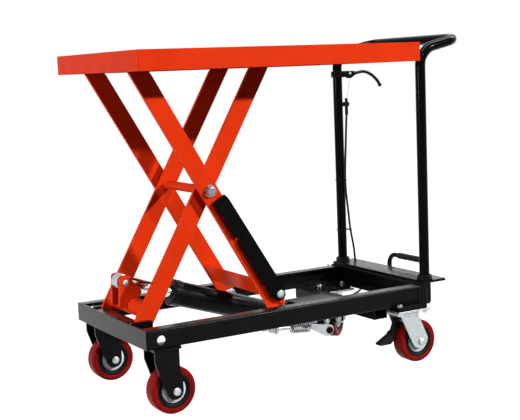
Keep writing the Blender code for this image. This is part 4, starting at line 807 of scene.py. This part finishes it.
class CART_OT_chassis(bpy.types.Operator):
    """Dress the rails, front channel, rear beam, deck and pivot lugs"""

    bl_idname = "cart.chassis"
    bl_label = "Chassis"

    def execute(self, context):
        for node in ("front_cross_channel", "rail_near", "rail_far", "rear_beam"):
            dress(node, "black_powder_coat", FRAME_EDGE)
        dress("rear_deck", "black_powder_coat", FRAME_EDGE, mesh=self.deck())
        lines = []
        for label, side in SIDES:
            lug = "pivot_lug_" + label
            dress(lug, "black_powder_coat")
            lines.append(foot_line(lug, side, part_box(lug)[0].z))
            lines.append(self.rail_end("rail_" + label, side))
        weld("chassis_welds", lines, "chassis", "black_powder_coat")
        return {"FINISHED"}

    def deck(self):
        """The deck with its collars cut down to the height that shows."""
        deck = copied("rear_deck")
        for vertex in deck.verts:
            if vertex.co.z > DECK_TOP + COLLAR_LEAST:
                vertex.co.z = COLLAR_TOP
        return mesh_from(deck)

    def rail_end(self, rail, side):
        """The upright line where a rail meets the rear beam."""
        low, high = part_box(rail)
        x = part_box("rear_beam")[0].x
        y = face_y(rail, side) - side * 1.0 * MM
        return [Vector((x, y, z)) for z in (low.z + 2 * MM, high.z - 2 * MM)]


POST_X = 0.3916
POST_Y = 0.170
POST_LEAN = 0.0244
POST_BEND_Z = 0.74624
POST_BEND_R = 45 * MM
BAR_X = 0.505
BAR_Z = 0.76564
BAR_BEND_R = 32 * MM
TUBE_R = 0.0125
TUBE_SLACK = 0.35 * MM


class CART_OT_push_handle(bpy.types.Operator):
    """Bend the push handle from one tube and weld its collars"""

    bl_idname = "cart.push_handle"
    bl_label = "Push handle"

    def execute(self, context):
        side = [at(POST_X, 0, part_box("push_handle")[0].z), at(POST_X, 0, POST_BEND_Z - POST_LEAN),
                at(POST_X + POST_LEAN, 0, POST_BEND_Z), at(BAR_X, 0, BAR_Z)]
        near = [point - ACROSS * POST_Y for point in side]
        far = [point + ACROSS * POST_Y for point in reversed(side)]
        corners = near + far
        path = bent_path(corners[:4], POST_BEND_R, steps=14)[:-1]
        path += bent_path(corners[2:6], BAR_BEND_R, steps=18)[1:-1]
        path += bent_path(corners[4:], POST_BEND_R, steps=14)[1:]
        # The tube is a little slim, so that its facets stay within the solid's box.
        tube = pipe(path, TUBE_R - TUBE_SLACK, resolution=10)
        # The tube and its collar welds take the darker black coat, in part painted shade.
        place("push_handle_tube", tube, "chassis", "deep_black_coat", "push_handle")
        lines = []
        for _, sign in SIDES:
            for z, radius in ((DECK_TOP + 0.8 * MM, COLLAR_R), (COLLAR_TOP, TUBE_R + 1.4 * MM)):
                lines.append(circle(at(POST_X, sign * POST_Y, z), UPRIGHT, radius))
        weld("handle_welds", lines, "chassis", "deep_black_coat", bead=1.1 * MM)
        return {"FINISHED"}


LEVER_X = 0.418
LEVER_Y = 0.158
LEVER_Z = 0.692
LEVER_EYE = 6.5 * MM
LEVER_HORN = 13 * MM
LEVER_PLATE = 4 * MM
LEVER_STEM_R = 4.1 * MM
LEVER_BALL_R = 5 * MM
LEVER_STEM = ((0.0172, -0.0004), (0.023, -0.0004), (0.049, 0.0026), (0.071, -0.0047), (0.0905, -0.0198),
              (0.1009, -0.034))
CABLE_R = 2.8 * MM
CABLE_Y = 0.152
CABLE_DROP = ((0.0134, 0.620), (0.0134, 0.597), (0.0084, 0.519), (0.0029, 0.4145), (0.0094, 0.333),
              (0.0149, 0.283), (0.0234, 0.237))
CABLE_UNDER = ((0.0294, 0.155, 0.1975), (0.0294, 0.153, 0.1795), (0.0244, 0.135, 0.150),
               (0.0104, 0.106, 0.1335), (-0.0316, 0.066, 0.133), (-0.0716, 0.043, 0.133),
               (-0.1036, 0.032, 0.133), (-0.1128, 0.032, 0.133))
TIE_R = 1.0 * MM
TIE_PROUD = 0.9 * MM
CABLE_TIED = (CABLE_DROP[5], CABLE_DROP[3])
FERRULES = ((0.585, 0.022, 4.2 * MM), (0.618, 0.010, 3.8 * MM))
WIRE_R = 1.0 * MM
WIRE_END_Z = 0.616


def strap_loop(first, first_r, second, second_r, steps=40):
    """Points of a tight loop round two upright bars."""
    spots = []
    for centre, radius in ((first, first_r), (second, second_r)):
        spots += [(centre.x + x, centre.y + y) for x, y in round_points(radius, steps)]
    spots.sort()
    loop = []
    for run in (spots, spots[::-1]):
        chain = []
        for x, y in run:
            while len(chain) > 1:
                (x0, y0), (x1, y1) = chain[-2:]
                if (x1 - x0) * (y - y0) - (y1 - y0) * (x - x0) > 0:
                    break
                chain.pop()
            chain.append((x, y))
        loop += chain[:-1]
    return [Vector((x, y, first.z)) for x, y in loop + loop[:1]]


class CART_OT_release(bpy.types.Operator):
    """Make the release lever, its bracket and ball, and the cable with its adjuster"""

    bl_idname = "cart.release"
    bl_label = "Release lever"

    def execute(self, context):
        dress("lever_bracket", "black_powder_coat", edge=0.6 * MM)
        self.lever()
        dress("cable_adjuster", "black_powder_coat", edge=0.5 * MM)
        self.cable()
        return {"FINISHED"}

    def lever(self):
        """A flat eye and horn, a cranked stem and a ball."""
        corners = ((-LEVER_EYE, LEVER_EYE, LEVER_EYE * 0.95), (-LEVER_EYE, -LEVER_HORN, 2 * MM),
                   (8 * MM, -LEVER_HORN, 2 * MM), (23 * MM, -4 * MM, 0), (23 * MM, 4 * MM, 0))
        pivot = at(LEVER_X, LEVER_Y, LEVER_Z)
        outline = [(pivot.x + x, pivot.z + z) for x, z in rounded_outline(corners)]
        plate = outline_plate(outline, LEVER_Y - LEVER_PLATE / 2, LEVER_Y + LEVER_PLATE / 2, edge=0.4 * MM)
        stem = [pivot + Vector((x, 0, z)) for x, z in LEVER_STEM]
        mesh = joined(plate, pipe(flowing_path(stem), LEVER_STEM_R), ball(stem[-1], LEVER_BALL_R))
        place("release_lever_made", mesh, "release", "black_powder_coat", "release_lever")
        pin = [(pivot + ACROSS * side * 7 * MM, ACROSS * side) for _, side in SIDES]
        bolts("lever_pin_heads", pin, "chassis", "bright_zinc", head=3.2 * MM, height=2.0 * MM,
              thread_length=4.0 * MM)

    def cable(self):
        """The sheathed cable from the adjuster to the pump, the bare wire above it and its two ties."""
        route = [at(POST_X + x, CABLE_Y, z) for x, z in CABLE_DROP]
        route += [at(POST_X + x, y, z) for x, y, z in CABLE_UNDER]
        sheath = pipe(flowing_path(route), CABLE_R, resolution=5)
        place("release_cable_sheath", sheath, "chassis", "black_vinyl", "release_cable")
        top_x = POST_X + CABLE_DROP[0][0]
        wire = [at(LEVER_X + 5 * MM, LEVER_Y, LEVER_Z - LEVER_HORN - 0.3 * MM),
                at(top_x, CABLE_Y, WIRE_END_Z)]
        place("release_wire", pipe(wire, WIRE_R, resolution=4), "chassis", "bright_zinc")
        ferrules = [round_bar(at(top_x, CABLE_Y, z), UPRIGHT, length, radius, ease=0.6 * MM, steps=32)
                    for z, length, radius in FERRULES]
        place("cable_ferrules", joined(*ferrules), "chassis", "black_powder_coat")
        ties = []
        for x, z in CABLE_TIED:
            loop = strap_loop(at(POST_X, POST_Y, z), TUBE_R + TIE_PROUD,
                              at(POST_X + x, CABLE_Y, z), CABLE_R + TIE_PROUD)
            ties.append(pipe(loop, TIE_R, resolution=3))
        place("cable_ties", joined(*ties), "chassis", "black_vinyl")


WHEEL_R = 51 * MM
WHEEL_WIDE = 34 * MM
RIM_EASE = 4 * MM
RIM_STEPS = 5
CORE_R = 39 * MM
CORE_DEEP = 3.4 * MM
HUB_R = 14.0 * MM
HUB_BORE = 6.0 * MM
HUB_PROUD = 5.5 * MM
COVER_R = 27.5 * MM
AXLE_R = 4.9 * MM
AXLE_PAST_HUB = 5.8 * MM
AXLE_HEAD_R = 8.4 * MM


class CART_OT_wheels(bpy.types.Operator):
    """Cast the four wheels: tread, core, hub covers and axle bolts"""

    bl_idname = "cart.wheels"
    bl_label = "Wheels"

    def execute(self, context):
        steps = context.scene.cart_sizes.wheel_steps
        for end in ("front", "rear"):
            for label, _ in SIDES:
                self.wheel(f"{end}_wheel_{label}", steps)
                self.axle(f"{end}_axle_{label}", f"{end}_wheel_{label}")
        return {"FINISHED"}

    def tread(self):
        """Profile of the tread: a lip on the core, a flank and a rounded shoulder, on both sides."""
        groove = 0.5 * MM
        lip = [(groove, CORE_R - 1.5 * MM), (groove, CORE_R + 0.5 * MM), (0, CORE_R + 1.2 * MM)]
        turns = [pi / 2 * step / RIM_STEPS for step in range(RIM_STEPS + 1)]
        rim = [(RIM_EASE * (1 - cos(turn)), WHEEL_R - RIM_EASE * (1 - sin(turn))) for turn in turns]
        return mirrored(lip + rim, WHEEL_WIDE)

    def core(self):
        """Profile of the core: a proud hub in a dish, on both sides."""
        half = [(-HUB_PROUD, HUB_BORE), (-HUB_PROUD, HUB_R - 0.8 * MM), (0.8 * MM - HUB_PROUD, HUB_R),
                (CORE_DEEP, HUB_R), (CORE_DEEP, COVER_R + 1.6 * MM), (0.8 * MM, CORE_R - 5.0 * MM),
                (0, CORE_R - 4.0 * MM), (0, CORE_R - 1.2 * MM), (0.6 * MM, CORE_R - 0.4 * MM)]
        return mirrored(half, WHEEL_WIDE)

    def cover(self):
        """Profile of a hub cover: a shallow dish that fills the core's dish."""
        back = CORE_DEEP + 0.1 * MM
        return ((back, HUB_R), (1.0 * MM, HUB_R), (0.6 * MM, HUB_R + 1.0 * MM), (1.0 * MM, 21.0 * MM),
                (1.6 * MM, 25.5 * MM), (2.2 * MM, COVER_R - 0.6 * MM), (2.8 * MM, COVER_R), (back, COVER_R))

    def wheel(self, node, steps):
        """One wheel with a hub cover in each face."""
        body = BODY_OF[node]
        _, axis = joint(node + "_spin")
        start = middle(node) - axis * WHEEL_WIDE / 2
        tread = turned(self.tread(), start, axis, steps, ring=True)
        place(node + "_tread", tread, body, "cast_polyurethane", node)
        core = turned(self.core(), start, axis, steps, ring=True)
        place(node + "_core", core, body, "nylon_core")
        covers = [turned(self.cover(), begin, way, steps, ring=True)
                  for begin, way in ((start, axis), (start + axis * WHEEL_WIDE, -axis))]
        place(node + "_covers", joined(*covers), body, "hub_cover")

    def axle(self, node, wheel):
        """The axle bolt of a wheel, with a head at each end."""
        _, axis = joint(wheel + "_spin")
        centre = middle(wheel)
        reach = WHEEL_WIDE / 2 + HUB_PROUD + AXLE_PAST_HUB
        shaft = round_bar(centre - axis * reach, axis, 2 * reach, AXLE_R, ease=0.4 * MM, steps=32)
        place(node + "_shaft", shaft, BODY_OF[node], "bright_zinc", node)
        ends = [(centre + axis * way * reach, axis * way) for way in (-1, 1)]
        bolts(node + "_heads", ends, BODY_OF[node], "bright_zinc", AXLE_HEAD_R, height=3.8 * MM,
              thread_length=3.0 * MM, washer=AXLE_HEAD_R)


BRAKE_ARM = (0.70, 12.0 * MM)
BRAKE_FOOT = (0.58, 13.0 * MM)
BRAKE_FOOT_TOP = 24 * MM
RACE_BORE = 20 * MM
RACE_R = 27.2 * MM
RACE_LIP = 1.2 * MM
PLATE_THICK = 6.0 * MM
PAD_TOP = 0.1475
SHELF_TOP = 0.1453
FLANGE_TOP = 0.1507
REAR_BOLT_X = (0.2955, 0.3685)
REAR_BOLT_OUTER = 0.1965
REAR_BOLT_INNER = 0.1420
REAR_BOLT_HIGH = 4.6 * MM
REAR_BOLT_THREAD = 6.0 * MM
FRONT_BOLT_X = (-0.318, -0.284)
FRONT_BOLT_UPPER_Y = 0.1690
FRONT_BOLT_LOWER_Y = 0.1610
FORK_THICK = 5.7 * MM


class CART_OT_casters(bpy.types.Operator):
    """Dress the caster forks, swivel plates and foot brakes, and bolt them on"""

    bl_idname = "cart.casters"
    bl_label = "Casters"

    def execute(self, context):
        head = context.scene.cart_sizes.bolt_head
        for label, side in SIDES:
            dress("front_fork_" + label, "black_powder_coat", edge=1.0 * MM)
            dress("swivel_plate_" + label, "bright_zinc", edge=0.8 * MM)
            dress("rear_fork_" + label, "bright_zinc", edge=1.0 * MM)
            dress("brake_pedal_" + label, "black_vinyl", edge=1.0 * MM, mesh=self.brake(label))
            self.race(label)
            self.fasten_rear(label, side, head)
            self.fasten_front(label, side, head)
        return {"FINISHED"}

    def brake(self, label):
        """The brake's foot and the narrower arm round the pin, both drawn in to the wheel's far face."""
        pin, axis = joint("brake_" + label)
        arm = copied("brake_pedal_" + label)
        foot = arm.copy()
        for shape, (narrowed, shift) in ((arm, BRAKE_ARM), (foot, BRAKE_FOOT)):
            for vertex in shape.verts:
                vertex.co += axis * (shift - (vertex.co - pin).dot(axis) * narrowed)
        parts = [*foot.verts, *foot.edges, *foot.faces]
        bmesh.ops.bisect_plane(foot, geom=parts, plane_co=pin - UPRIGHT * BRAKE_FOOT_TOP, plane_no=UPRIGHT,
                               clear_outer=True)
        bmesh.ops.holes_fill(foot, edges=[edge for edge in foot.edges if edge.is_boundary])
        return joined(mesh_from(arm), mesh_from(foot))

    def race(self, label):
        """The pressed cup of the swivel's ball race."""
        pin, _ = joint("rear_swivel_" + label)
        pin.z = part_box("rear_fork_" + label)[1].z + 0.3 * MM
        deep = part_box("swivel_plate_" + label)[1].z - PLATE_THICK - pin.z
        profile = ((0, RACE_BORE), (0, RACE_R - RACE_LIP), (RACE_LIP, RACE_R), (deep - 1.0 * MM, RACE_R),
                   (deep, RACE_R + RACE_LIP), (deep, RACE_BORE))
        place("swivel_cup_" + label, turned(profile, pin, UPRIGHT, ring=True), "chassis", "bright_zinc")

    def fasten_rear(self, label, side, head):
        """Nuts on the pad and the shelf, and the bolts that come through the swivel plate."""
        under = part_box("swivel_plate_" + label)[1].z - PLATE_THICK
        nuts = [(at(REAR_BOLT_X[0], side * REAR_BOLT_OUTER, PAD_TOP), UPRIGHT)]
        spots = []
        for x in REAR_BOLT_X:
            nuts.append((at(x, side * REAR_BOLT_INNER, SHELF_TOP), UPRIGHT))
            spots += [(at(x, side * y, under), -UPRIGHT) for y in (REAR_BOLT_OUTER, REAR_BOLT_INNER)]
        # The nuts take the darker spring steel in place of zinc, as painted shade.
        for name, places, coat in (("nuts", nuts, "spring_steel"), ("bolts", spots, "bright_zinc")):
            bolts(f"rear_caster_{name}_{label}", places, "chassis", coat, head, REAR_BOLT_HIGH,
                  REAR_BOLT_THREAD)

    def fasten_front(self, label, side, head):
        """Bolts through the front fork and the rail's flange."""
        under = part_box("front_fork_" + label)[1].z - FORK_THICK
        spots = []
        for x in FRONT_BOLT_X:
            spots.append((at(x, side * FRONT_BOLT_UPPER_Y, FLANGE_TOP), UPRIGHT))
            spots.append((at(x, side * FRONT_BOLT_LOWER_Y, under), -UPRIGHT))
        bolts("front_caster_bolts_" + label, spots, "chassis", "bright_zinc", head * 0.9,
              height=5.0 * MM, thread_length=8.0 * MM)


BARREL_PROFILE = ((0.046, 0), (0.046, 0.024), (0.0485, 0.0270), (0.051, 0.0280), (0.272, 0.0280),
                  (0.2735, 0.0272), (0.2745, 0.0285), (0.2755, 0.0299), (0.2800, 0.0300), (0.2806, 0.0293),
                  (0.2816, 0.0293), (0.2822, 0.0300), (0.2930, 0.0300), (0.2948, 0.0284), (0.2950, 0.0215),
                  (0.2936, 0.0205), (0.2936, 0.0165), (0.2950, 0.0158), (0.2950, 0.0145), (0.270, 0.0145),
                  (0.270, 0))
NECK_START = 1.0 * MM
NECK_LENGTH = 0.046
NECK_R = 12.8 * MM
CAP_WELD_R = 25.5 * MM
FOOT_WIDE = 44 * MM
FOOT_R = 16 * MM
FOOT_BORE = 6.3 * MM
ROD_R = 14 * MM
ROD_START = 0.150
ROD_SHORT = 0.016
EYE_WIDE = 28 * MM
EYE_R = 16.6 * MM
EYE_BORE = 13.2 * MM
PLUG_R = 6.8 * MM
NEAR_PLUGS = ((0.1895, 0.1045), (0.2240, 0.1045))
FAR_PLUGS = ((0.1600, 0.130), (0.2100, 0.130))
CHANNEL_WELD_Y = 0.044


class CART_OT_ram_and_pump(bpy.types.Operator):
    """Turn the hydraulic ram and dress the pump, its channel and its fittings"""

    bl_idname = "cart.ram_and_pump"
    bl_label = "Ram and pump"

    def execute(self, context):
        base, _ = joint("ram_swing")
        eye = middle("crank_pin")
        along = (eye - base).normalized()
        self.barrel(base, along)
        self.rod(base, eye, along)
        dress("pump_block", "black_powder_coat", edge=2.0 * MM)
        dress("pump_channel", "black_powder_coat", FRAME_EDGE)
        cross_bar("ram_base_pin", "bright_zinc", ease=0.6 * MM)
        self.plugs()
        self.channel_welds()
        return {"FINISHED"}

    def barrel(self, base, along):
        """Barrel with its end cap weld, gland nut and cross foot."""
        tube = turned(BARREL_PROFILE, base, along, steps=96)
        neck = round_bar(base + along * NECK_START, along, NECK_LENGTH, NECK_R, ease=0.6 * MM, steps=48)
        foot = round_bar(base - ACROSS * FOOT_WIDE / 2, ACROSS, FOOT_WIDE, FOOT_R, ease=1.0 * MM,
                         bore=FOOT_BORE)
        place("ram_barrel_turned", joined(tube, neck, foot), "ram_barrel", "black_powder_coat", "ram_barrel")
        cap = circle(base + along * (NECK_START + NECK_LENGTH), along, CAP_WELD_R, steps=48)
        weld("ram_cap_weld", [cap], "ram_barrel", "black_powder_coat", bead=1.8 * MM)

    def rod(self, base, eye, along):
        """Chromed rod with its eye round the crank pin."""
        length = (eye - base).length - ROD_SHORT - ROD_START
        shaft = round_bar(base + along * ROD_START, along, length, ROD_R, ease=0.8 * MM)
        ring = round_bar(eye - ACROSS * EYE_WIDE / 2, ACROSS, EYE_WIDE, EYE_R, ease=0.8 * MM, bore=EYE_BORE)
        place("ram_rod_turned", shaft, "ram_rod", "hard_chrome", "ram_rod")
        place("ram_eye_turned", ring, "ram_rod", "bright_zinc")

    def plugs(self):
        """Hex plugs in both sides of the pump block."""
        spots = []
        for side, holes in ((-1, NEAR_PLUGS), (1, FAR_PLUGS)):
            spots += [(at(x, face_y("pump_block", side), z), ACROSS * side) for x, z in holes]
        bolts("pump_plugs", spots, "chassis", "bright_zinc", PLUG_R, height=5.0 * MM, thread_length=3.0 * MM)

    def channel_welds(self):
        """Welds along the upper edges of the pump channel and across its front end."""
        low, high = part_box("pump_channel")
        lines = []
        for _, side in SIDES:
            y = side * (high.y + 0.5 * MM)
            lines.append([Vector((x, y, high.z - 1 * MM)) for x in (low.x, high.x)])
        lines.append([Vector((low.x, y, high.z - 2 * MM)) for y in (-CHANNEL_WELD_Y, CHANNEL_WELD_Y)])
        weld("pump_channel_welds", lines, "chassis", "black_powder_coat")


PEDAL_X = 0.183
PEDAL_Z = 0.0864
PEDAL_BACK_X = 0.467
PEDAL_TOP_Z = 0.2215
PEDAL_ROD_Y = 0.049
PEDAL_POST_Y = 0.066
PEDAL_BAR_R = 6 * MM
PEDAL_LOWER_BEND = 16 * MM
PEDAL_UPPER_BEND = 26 * MM
PEDAL_SHAFT = 0.130
PEDAL_SHAFT_R = 8 * MM
SLEEVE_Y = 0.025
SLEEVE_LENGTH = 0.100
SLEEVE_R = 7.4 * MM
RIB_HEIGHT = 0.4 * MM
RIB_PITCH = 4.0 * MM
LINK_Y = -0.066
SPRING_HOOK = (0.131, LINK_Y, 0.1031)
SPRING_ANCHOR = (0.030, LINK_Y, 0.112)
SPRING_LENGTH = 0.058
SPRING_TURNS = 8
SPRING_STEPS = 28
SPRING_LEAD = SPRING_STEPS * 3 // 4
SPRING_TAIL = 2.2 * MM
SPRING_R = 11.0 * MM
SPRING_WIRE = 1.6 * MM
SPRING_NUT_R = 8.4 * MM


class CART_OT_foot_pedal(bpy.types.Operator):
    """Bend the foot pedal, rib its sleeve, and wind the return spring"""

    bl_idname = "cart.foot_pedal"
    bl_label = "Foot pedal"

    def execute(self, context):
        self.bar()
        grip = [[at(PEDAL_BACK_X, SLEEVE_Y - step * SLEEVE_LENGTH / 4, PEDAL_TOP_Z) for step in range(5)]]
        sleeve = grow("pedal_grip", lines_mesh(grip), tree_named("ribbed_grip", rib_tree), radius=SLEEVE_R,
                      rib_height=RIB_HEIGHT, rib_pitch=RIB_PITCH, material=finish("black_vinyl"))
        settle(sleeve, "pedal", "black_vinyl", "pedal_sleeve")
        for node in ("pedal_link", "spring_anchor"):
            dress(node, "bright_zinc", edge=0.5 * MM)
        self.spring()
        return {"FINISHED"}

    def bar(self):
        """Cross shaft and the bent bar that runs back under the deck and up behind it."""
        route = (at(PEDAL_X, PEDAL_ROD_Y, PEDAL_Z), at(PEDAL_BACK_X - 0.036, PEDAL_ROD_Y, PEDAL_Z + 0.0166),
                 at(PEDAL_BACK_X, PEDAL_POST_Y, PEDAL_Z + 0.040), at(PEDAL_BACK_X, PEDAL_POST_Y, PEDAL_TOP_Z),
                 at(PEDAL_BACK_X, SLEEVE_Y - SLEEVE_LENGTH - 4 * MM, PEDAL_TOP_Z))
        end = at(PEDAL_X, LINK_Y - 6 * MM, PEDAL_Z)
        shaft = round_bar(end, ACROSS, PEDAL_SHAFT, PEDAL_SHAFT_R, ease=0.8 * MM, steps=48)
        path = bent_path(route[:4], PEDAL_LOWER_BEND, steps=12)[:-1]
        path += bent_path(route[2:], PEDAL_UPPER_BEND, steps=16)[1:]
        mesh = joined(pipe(path, PEDAL_BAR_R, resolution=8), shaft)
        place("foot_pedal_bar", mesh, "pedal", "black_powder_coat", "foot_pedal")
        foot = circle(at(PEDAL_X + 7 * MM, PEDAL_ROD_Y, PEDAL_Z + 0.4 * MM), (1, 0, 0.066), PEDAL_BAR_R)
        weld("pedal_weld", [foot], "pedal", "black_powder_coat", bead=1.5 * MM)

    def coil(self, start, along):
        """Points of the spring's wire, which winds out from its axis and in again."""
        side = along.cross(ACROSS).normalized()
        up = along.cross(side)
        count = SPRING_TURNS * SPRING_STEPS + 2 * SPRING_LEAD
        points = [start.copy()]
        for step in range(count + 1):
            radius = SPRING_R * sin(min(1.0, step / SPRING_LEAD, (count - step) / SPRING_LEAD) * pi / 2)
            angle = 2 * pi * step / SPRING_STEPS
            spot = start + along * (SPRING_TAIL + (SPRING_LENGTH - 2 * SPRING_TAIL) * step / count)
            points.append(spot + (side * cos(angle) + up * sin(angle)) * radius)
        return points + [start + along * SPRING_LENGTH]

    def spring(self):
        """Return spring between the adjusting bolt on the chassis and the link on the pedal."""
        hook = at(*SPRING_HOOK)
        anchor = at(*SPRING_ANCHOR)
        along = (hook - anchor).normalized()
        start = hook - along * (SPRING_LENGTH + 0.3 * MM)
        piece = piece_from("pedal_spring_wound", pipe(self.coil(start, along), SPRING_WIRE, resolution=3))
        piece.data.materials.append(finish("spring_steel"))
        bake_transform(piece)
        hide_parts("pedal_spring")
        nuts = [(anchor - along * back, -along) for back in (0.2 * MM, 7.0 * MM)]
        nuts.append((anchor + along * 4.2 * MM, along))
        bolts("spring_nuts", nuts, "chassis", "bright_zinc", SPRING_NUT_R, height=5.0 * MM,
              thread_length=3.0 * MM, washer=SPRING_NUT_R)


PHOTO_WIDE = 520
CAMERA_PLACE = (-1.2496, -2.2046, 0.7052)
CAMERA_YAW = radians(30.3872)
CAMERA_PITCH = radians(-7.1733)
CAMERA_ROLL = radians(-2.2661)
CAMERA_FOCUS = 1099.5252 / PHOTO_WIDE
SENSOR_WIDE = 36
LAMP_AIM = (0, 0, 0.4)
FLOOR_HALF = 12
FLOOR_DROP = 0.2 * MM


class CART_OT_stage(bpy.types.Operator):
    """Lay the pale floor, hang the lights and set the camera"""

    bl_idname = "cart.stage"
    bl_label = "Stage"

    def execute(self, context):
        self.floor()
        self.world(context.scene)
        self.lamp("key_light", at(4.05, -6.2, 3.95), wide=0.4, high=0.4, power=575)
        self.lamp("second_light", at(-0.3, -7.2, 4.48), wide=0.4, high=0.4, power=190)
        self.lamp("front_light", at(-5.0, -0.3, 1.2), wide=1.2, high=1.2, power=190)
        # The strip hangs high behind the handle and shows only in highlights.
        strip = self.lamp("strip_light", at(1.4, -0.3, 2.6), wide=4.0, high=0.5, power=220,
                          aim=at(1.4, -0.3, 0))
        strip.visible_diffuse = False
        self.camera(context.scene)
        context.scene.view_settings.view_transform = "Standard"
        return {"FINISHED"}

    def seen(self, tree):
        """1 for the camera's rays, reflections and transmission."""
        path = add_node(tree, "ShaderNodeLightPath").outputs
        first = add_node(tree, "ShaderNodeMath", {0: path["Is Camera Ray"], 1: path["Is Glossy Ray"]},
                         operation="MAXIMUM")
        return add_node(tree, "ShaderNodeMath", {0: first.outputs[0], 1: path["Is Transmission Ray"]},
                        operation="MAXIMUM").outputs[0]

    def floor(self):
        """A wide pale floor that keeps a soft shadow, and that lights the cart less than it shows."""
        bm = bmesh.new()
        bmesh.ops.create_grid(bm, x_segments=8, y_segments=8, size=FLOOR_HALF)
        floor = piece_from("studio_floor", plain_mesh(bm))
        floor.location.z = -FLOOR_DROP
        material = bpy.data.materials.new("pale_floor")
        material.use_nodes = True
        tree = material.node_tree
        tree.nodes.clear()
        matt = add_node(tree, "ShaderNodeBsdfDiffuse", {"Color": linear("#F4F4F4")})
        glow = add_node(tree, "ShaderNodeEmission", {"Color": linear("#FFFFFF"), "Strength": 1.95})
        pale = add_node(tree, "ShaderNodeMixShader", {0: 0.5, 1: matt.outputs[0], 2: glow.outputs[0]})
        dull = add_node(tree, "ShaderNodeBsdfDiffuse", {"Color": linear("#505050")})
        mix = add_node(tree, "ShaderNodeMixShader", {0: self.seen(tree), 1: dull.outputs[0],
                                                     2: pale.outputs[0]})
        add_node(tree, "ShaderNodeOutputMaterial", {"Surface": mix.outputs[0]})
        floor.data.materials.append(material)

    def world(self, scene):
        """White round about, dimmer as a light than as a background."""
        scene.world = bpy.data.worlds.new("studio")
        scene.world.use_nodes = True
        tree = scene.world.node_tree
        tree.nodes.clear()
        strength = add_node(tree, "ShaderNodeMapRange", {"Value": self.seen(tree), "To Min": 0.03,
                                                         "To Max": 1.0})
        glow = add_node(tree, "ShaderNodeBackground", {"Color": linear("#FFFFFF"),
                                                       "Strength": strength.outputs["Result"]})
        add_node(tree, "ShaderNodeOutputWorld", {"Surface": glow.outputs[0]})

    def lamp(self, name, spot, wide, high, power, aim=None):
        """A lamp of a size and a power in watts that looks at the cart, or at a point of its own."""
        data = bpy.data.lights.new(name, "AREA")
        data.shape = "RECTANGLE"
        data.size = wide
        data.size_y = high
        data.energy = power
        lamp = bpy.data.objects.new(name, data)
        lamp.location = spot
        lamp.rotation_euler = ((aim or at(*LAMP_AIM)) - spot).to_track_quat("-Z", "Y").to_euler()
        bpy.context.scene.collection.objects.link(lamp)
        return lamp

    def camera(self, scene):
        """The photograph's viewpoint."""
        data = bpy.data.cameras.new("viewpoint")
        data.sensor_fit = "HORIZONTAL"
        data.sensor_width = SENSOR_WIDE
        data.lens = CAMERA_FOCUS * SENSOR_WIDE
        ahead = Vector((sin(CAMERA_YAW), cos(CAMERA_YAW), 0))
        forward = ahead * cos(CAMERA_PITCH) + UPRIGHT * sin(CAMERA_PITCH)
        level = Vector((cos(CAMERA_YAW), -sin(CAMERA_YAW), 0))
        upward = level.cross(forward)
        right = level * cos(CAMERA_ROLL) + upward * sin(CAMERA_ROLL)
        up = upward * cos(CAMERA_ROLL) - level * sin(CAMERA_ROLL)
        camera = bpy.data.objects.new("viewpoint", data)
        turn = Matrix((right, up, -forward)).transposed().to_4x4()
        camera.matrix_world = Matrix.Translation(at(*CAMERA_PLACE)) @ turn
        scene.collection.objects.link(camera)
        scene.camera = camera


OPERATORS = (CART_OT_platform, CART_OT_scissor, CART_OT_chassis, CART_OT_push_handle, CART_OT_release,
             CART_OT_wheels, CART_OT_casters, CART_OT_ram_and_pump, CART_OT_foot_pedal, CART_OT_stage)


class CART_PT_panel(bpy.types.Panel):
    """Sizes, colours and pieces of the lift table"""

    bl_idname = "CART_PT_panel"
    bl_label = "Lift table"
    bl_space_type = "VIEW_3D"
    bl_region_type = "UI"
    bl_category = "Lift table"

    def draw(self, context):
        for group in (context.scene.cart_finishes, context.scene.cart_sizes):
            for name in group.bl_rna.properties.keys():
                if name not in ("rna_type", "name"):
                    self.layout.prop(group, name)
        for operator in OPERATORS:
            self.layout.operator(operator.bl_idname)


CLASSES = (CartFinishes, CartSizes, *OPERATORS, CART_PT_panel)


def register():
    """Register the classes and hang the settings on the scene."""
    for entry in CLASSES:
        bpy.utils.register_class(entry)
    bpy.types.Scene.cart_finishes = PointerProperty(type=CartFinishes)
    bpy.types.Scene.cart_sizes = PointerProperty(type=CartSizes)


def unregister():
    """Take the settings and the classes away again."""
    del bpy.types.Scene.cart_sizes
    del bpy.types.Scene.cart_finishes
    for entry in reversed(CLASSES):
        bpy.utils.unregister_class(entry)


def main():
    """Dress the cart and set the stage."""
    register()
    for operator in OPERATORS:
        family, name = operator.bl_idname.split(".")
        getattr(getattr(bpy.ops, family), name)()


if __name__ == "__main__":
    main()
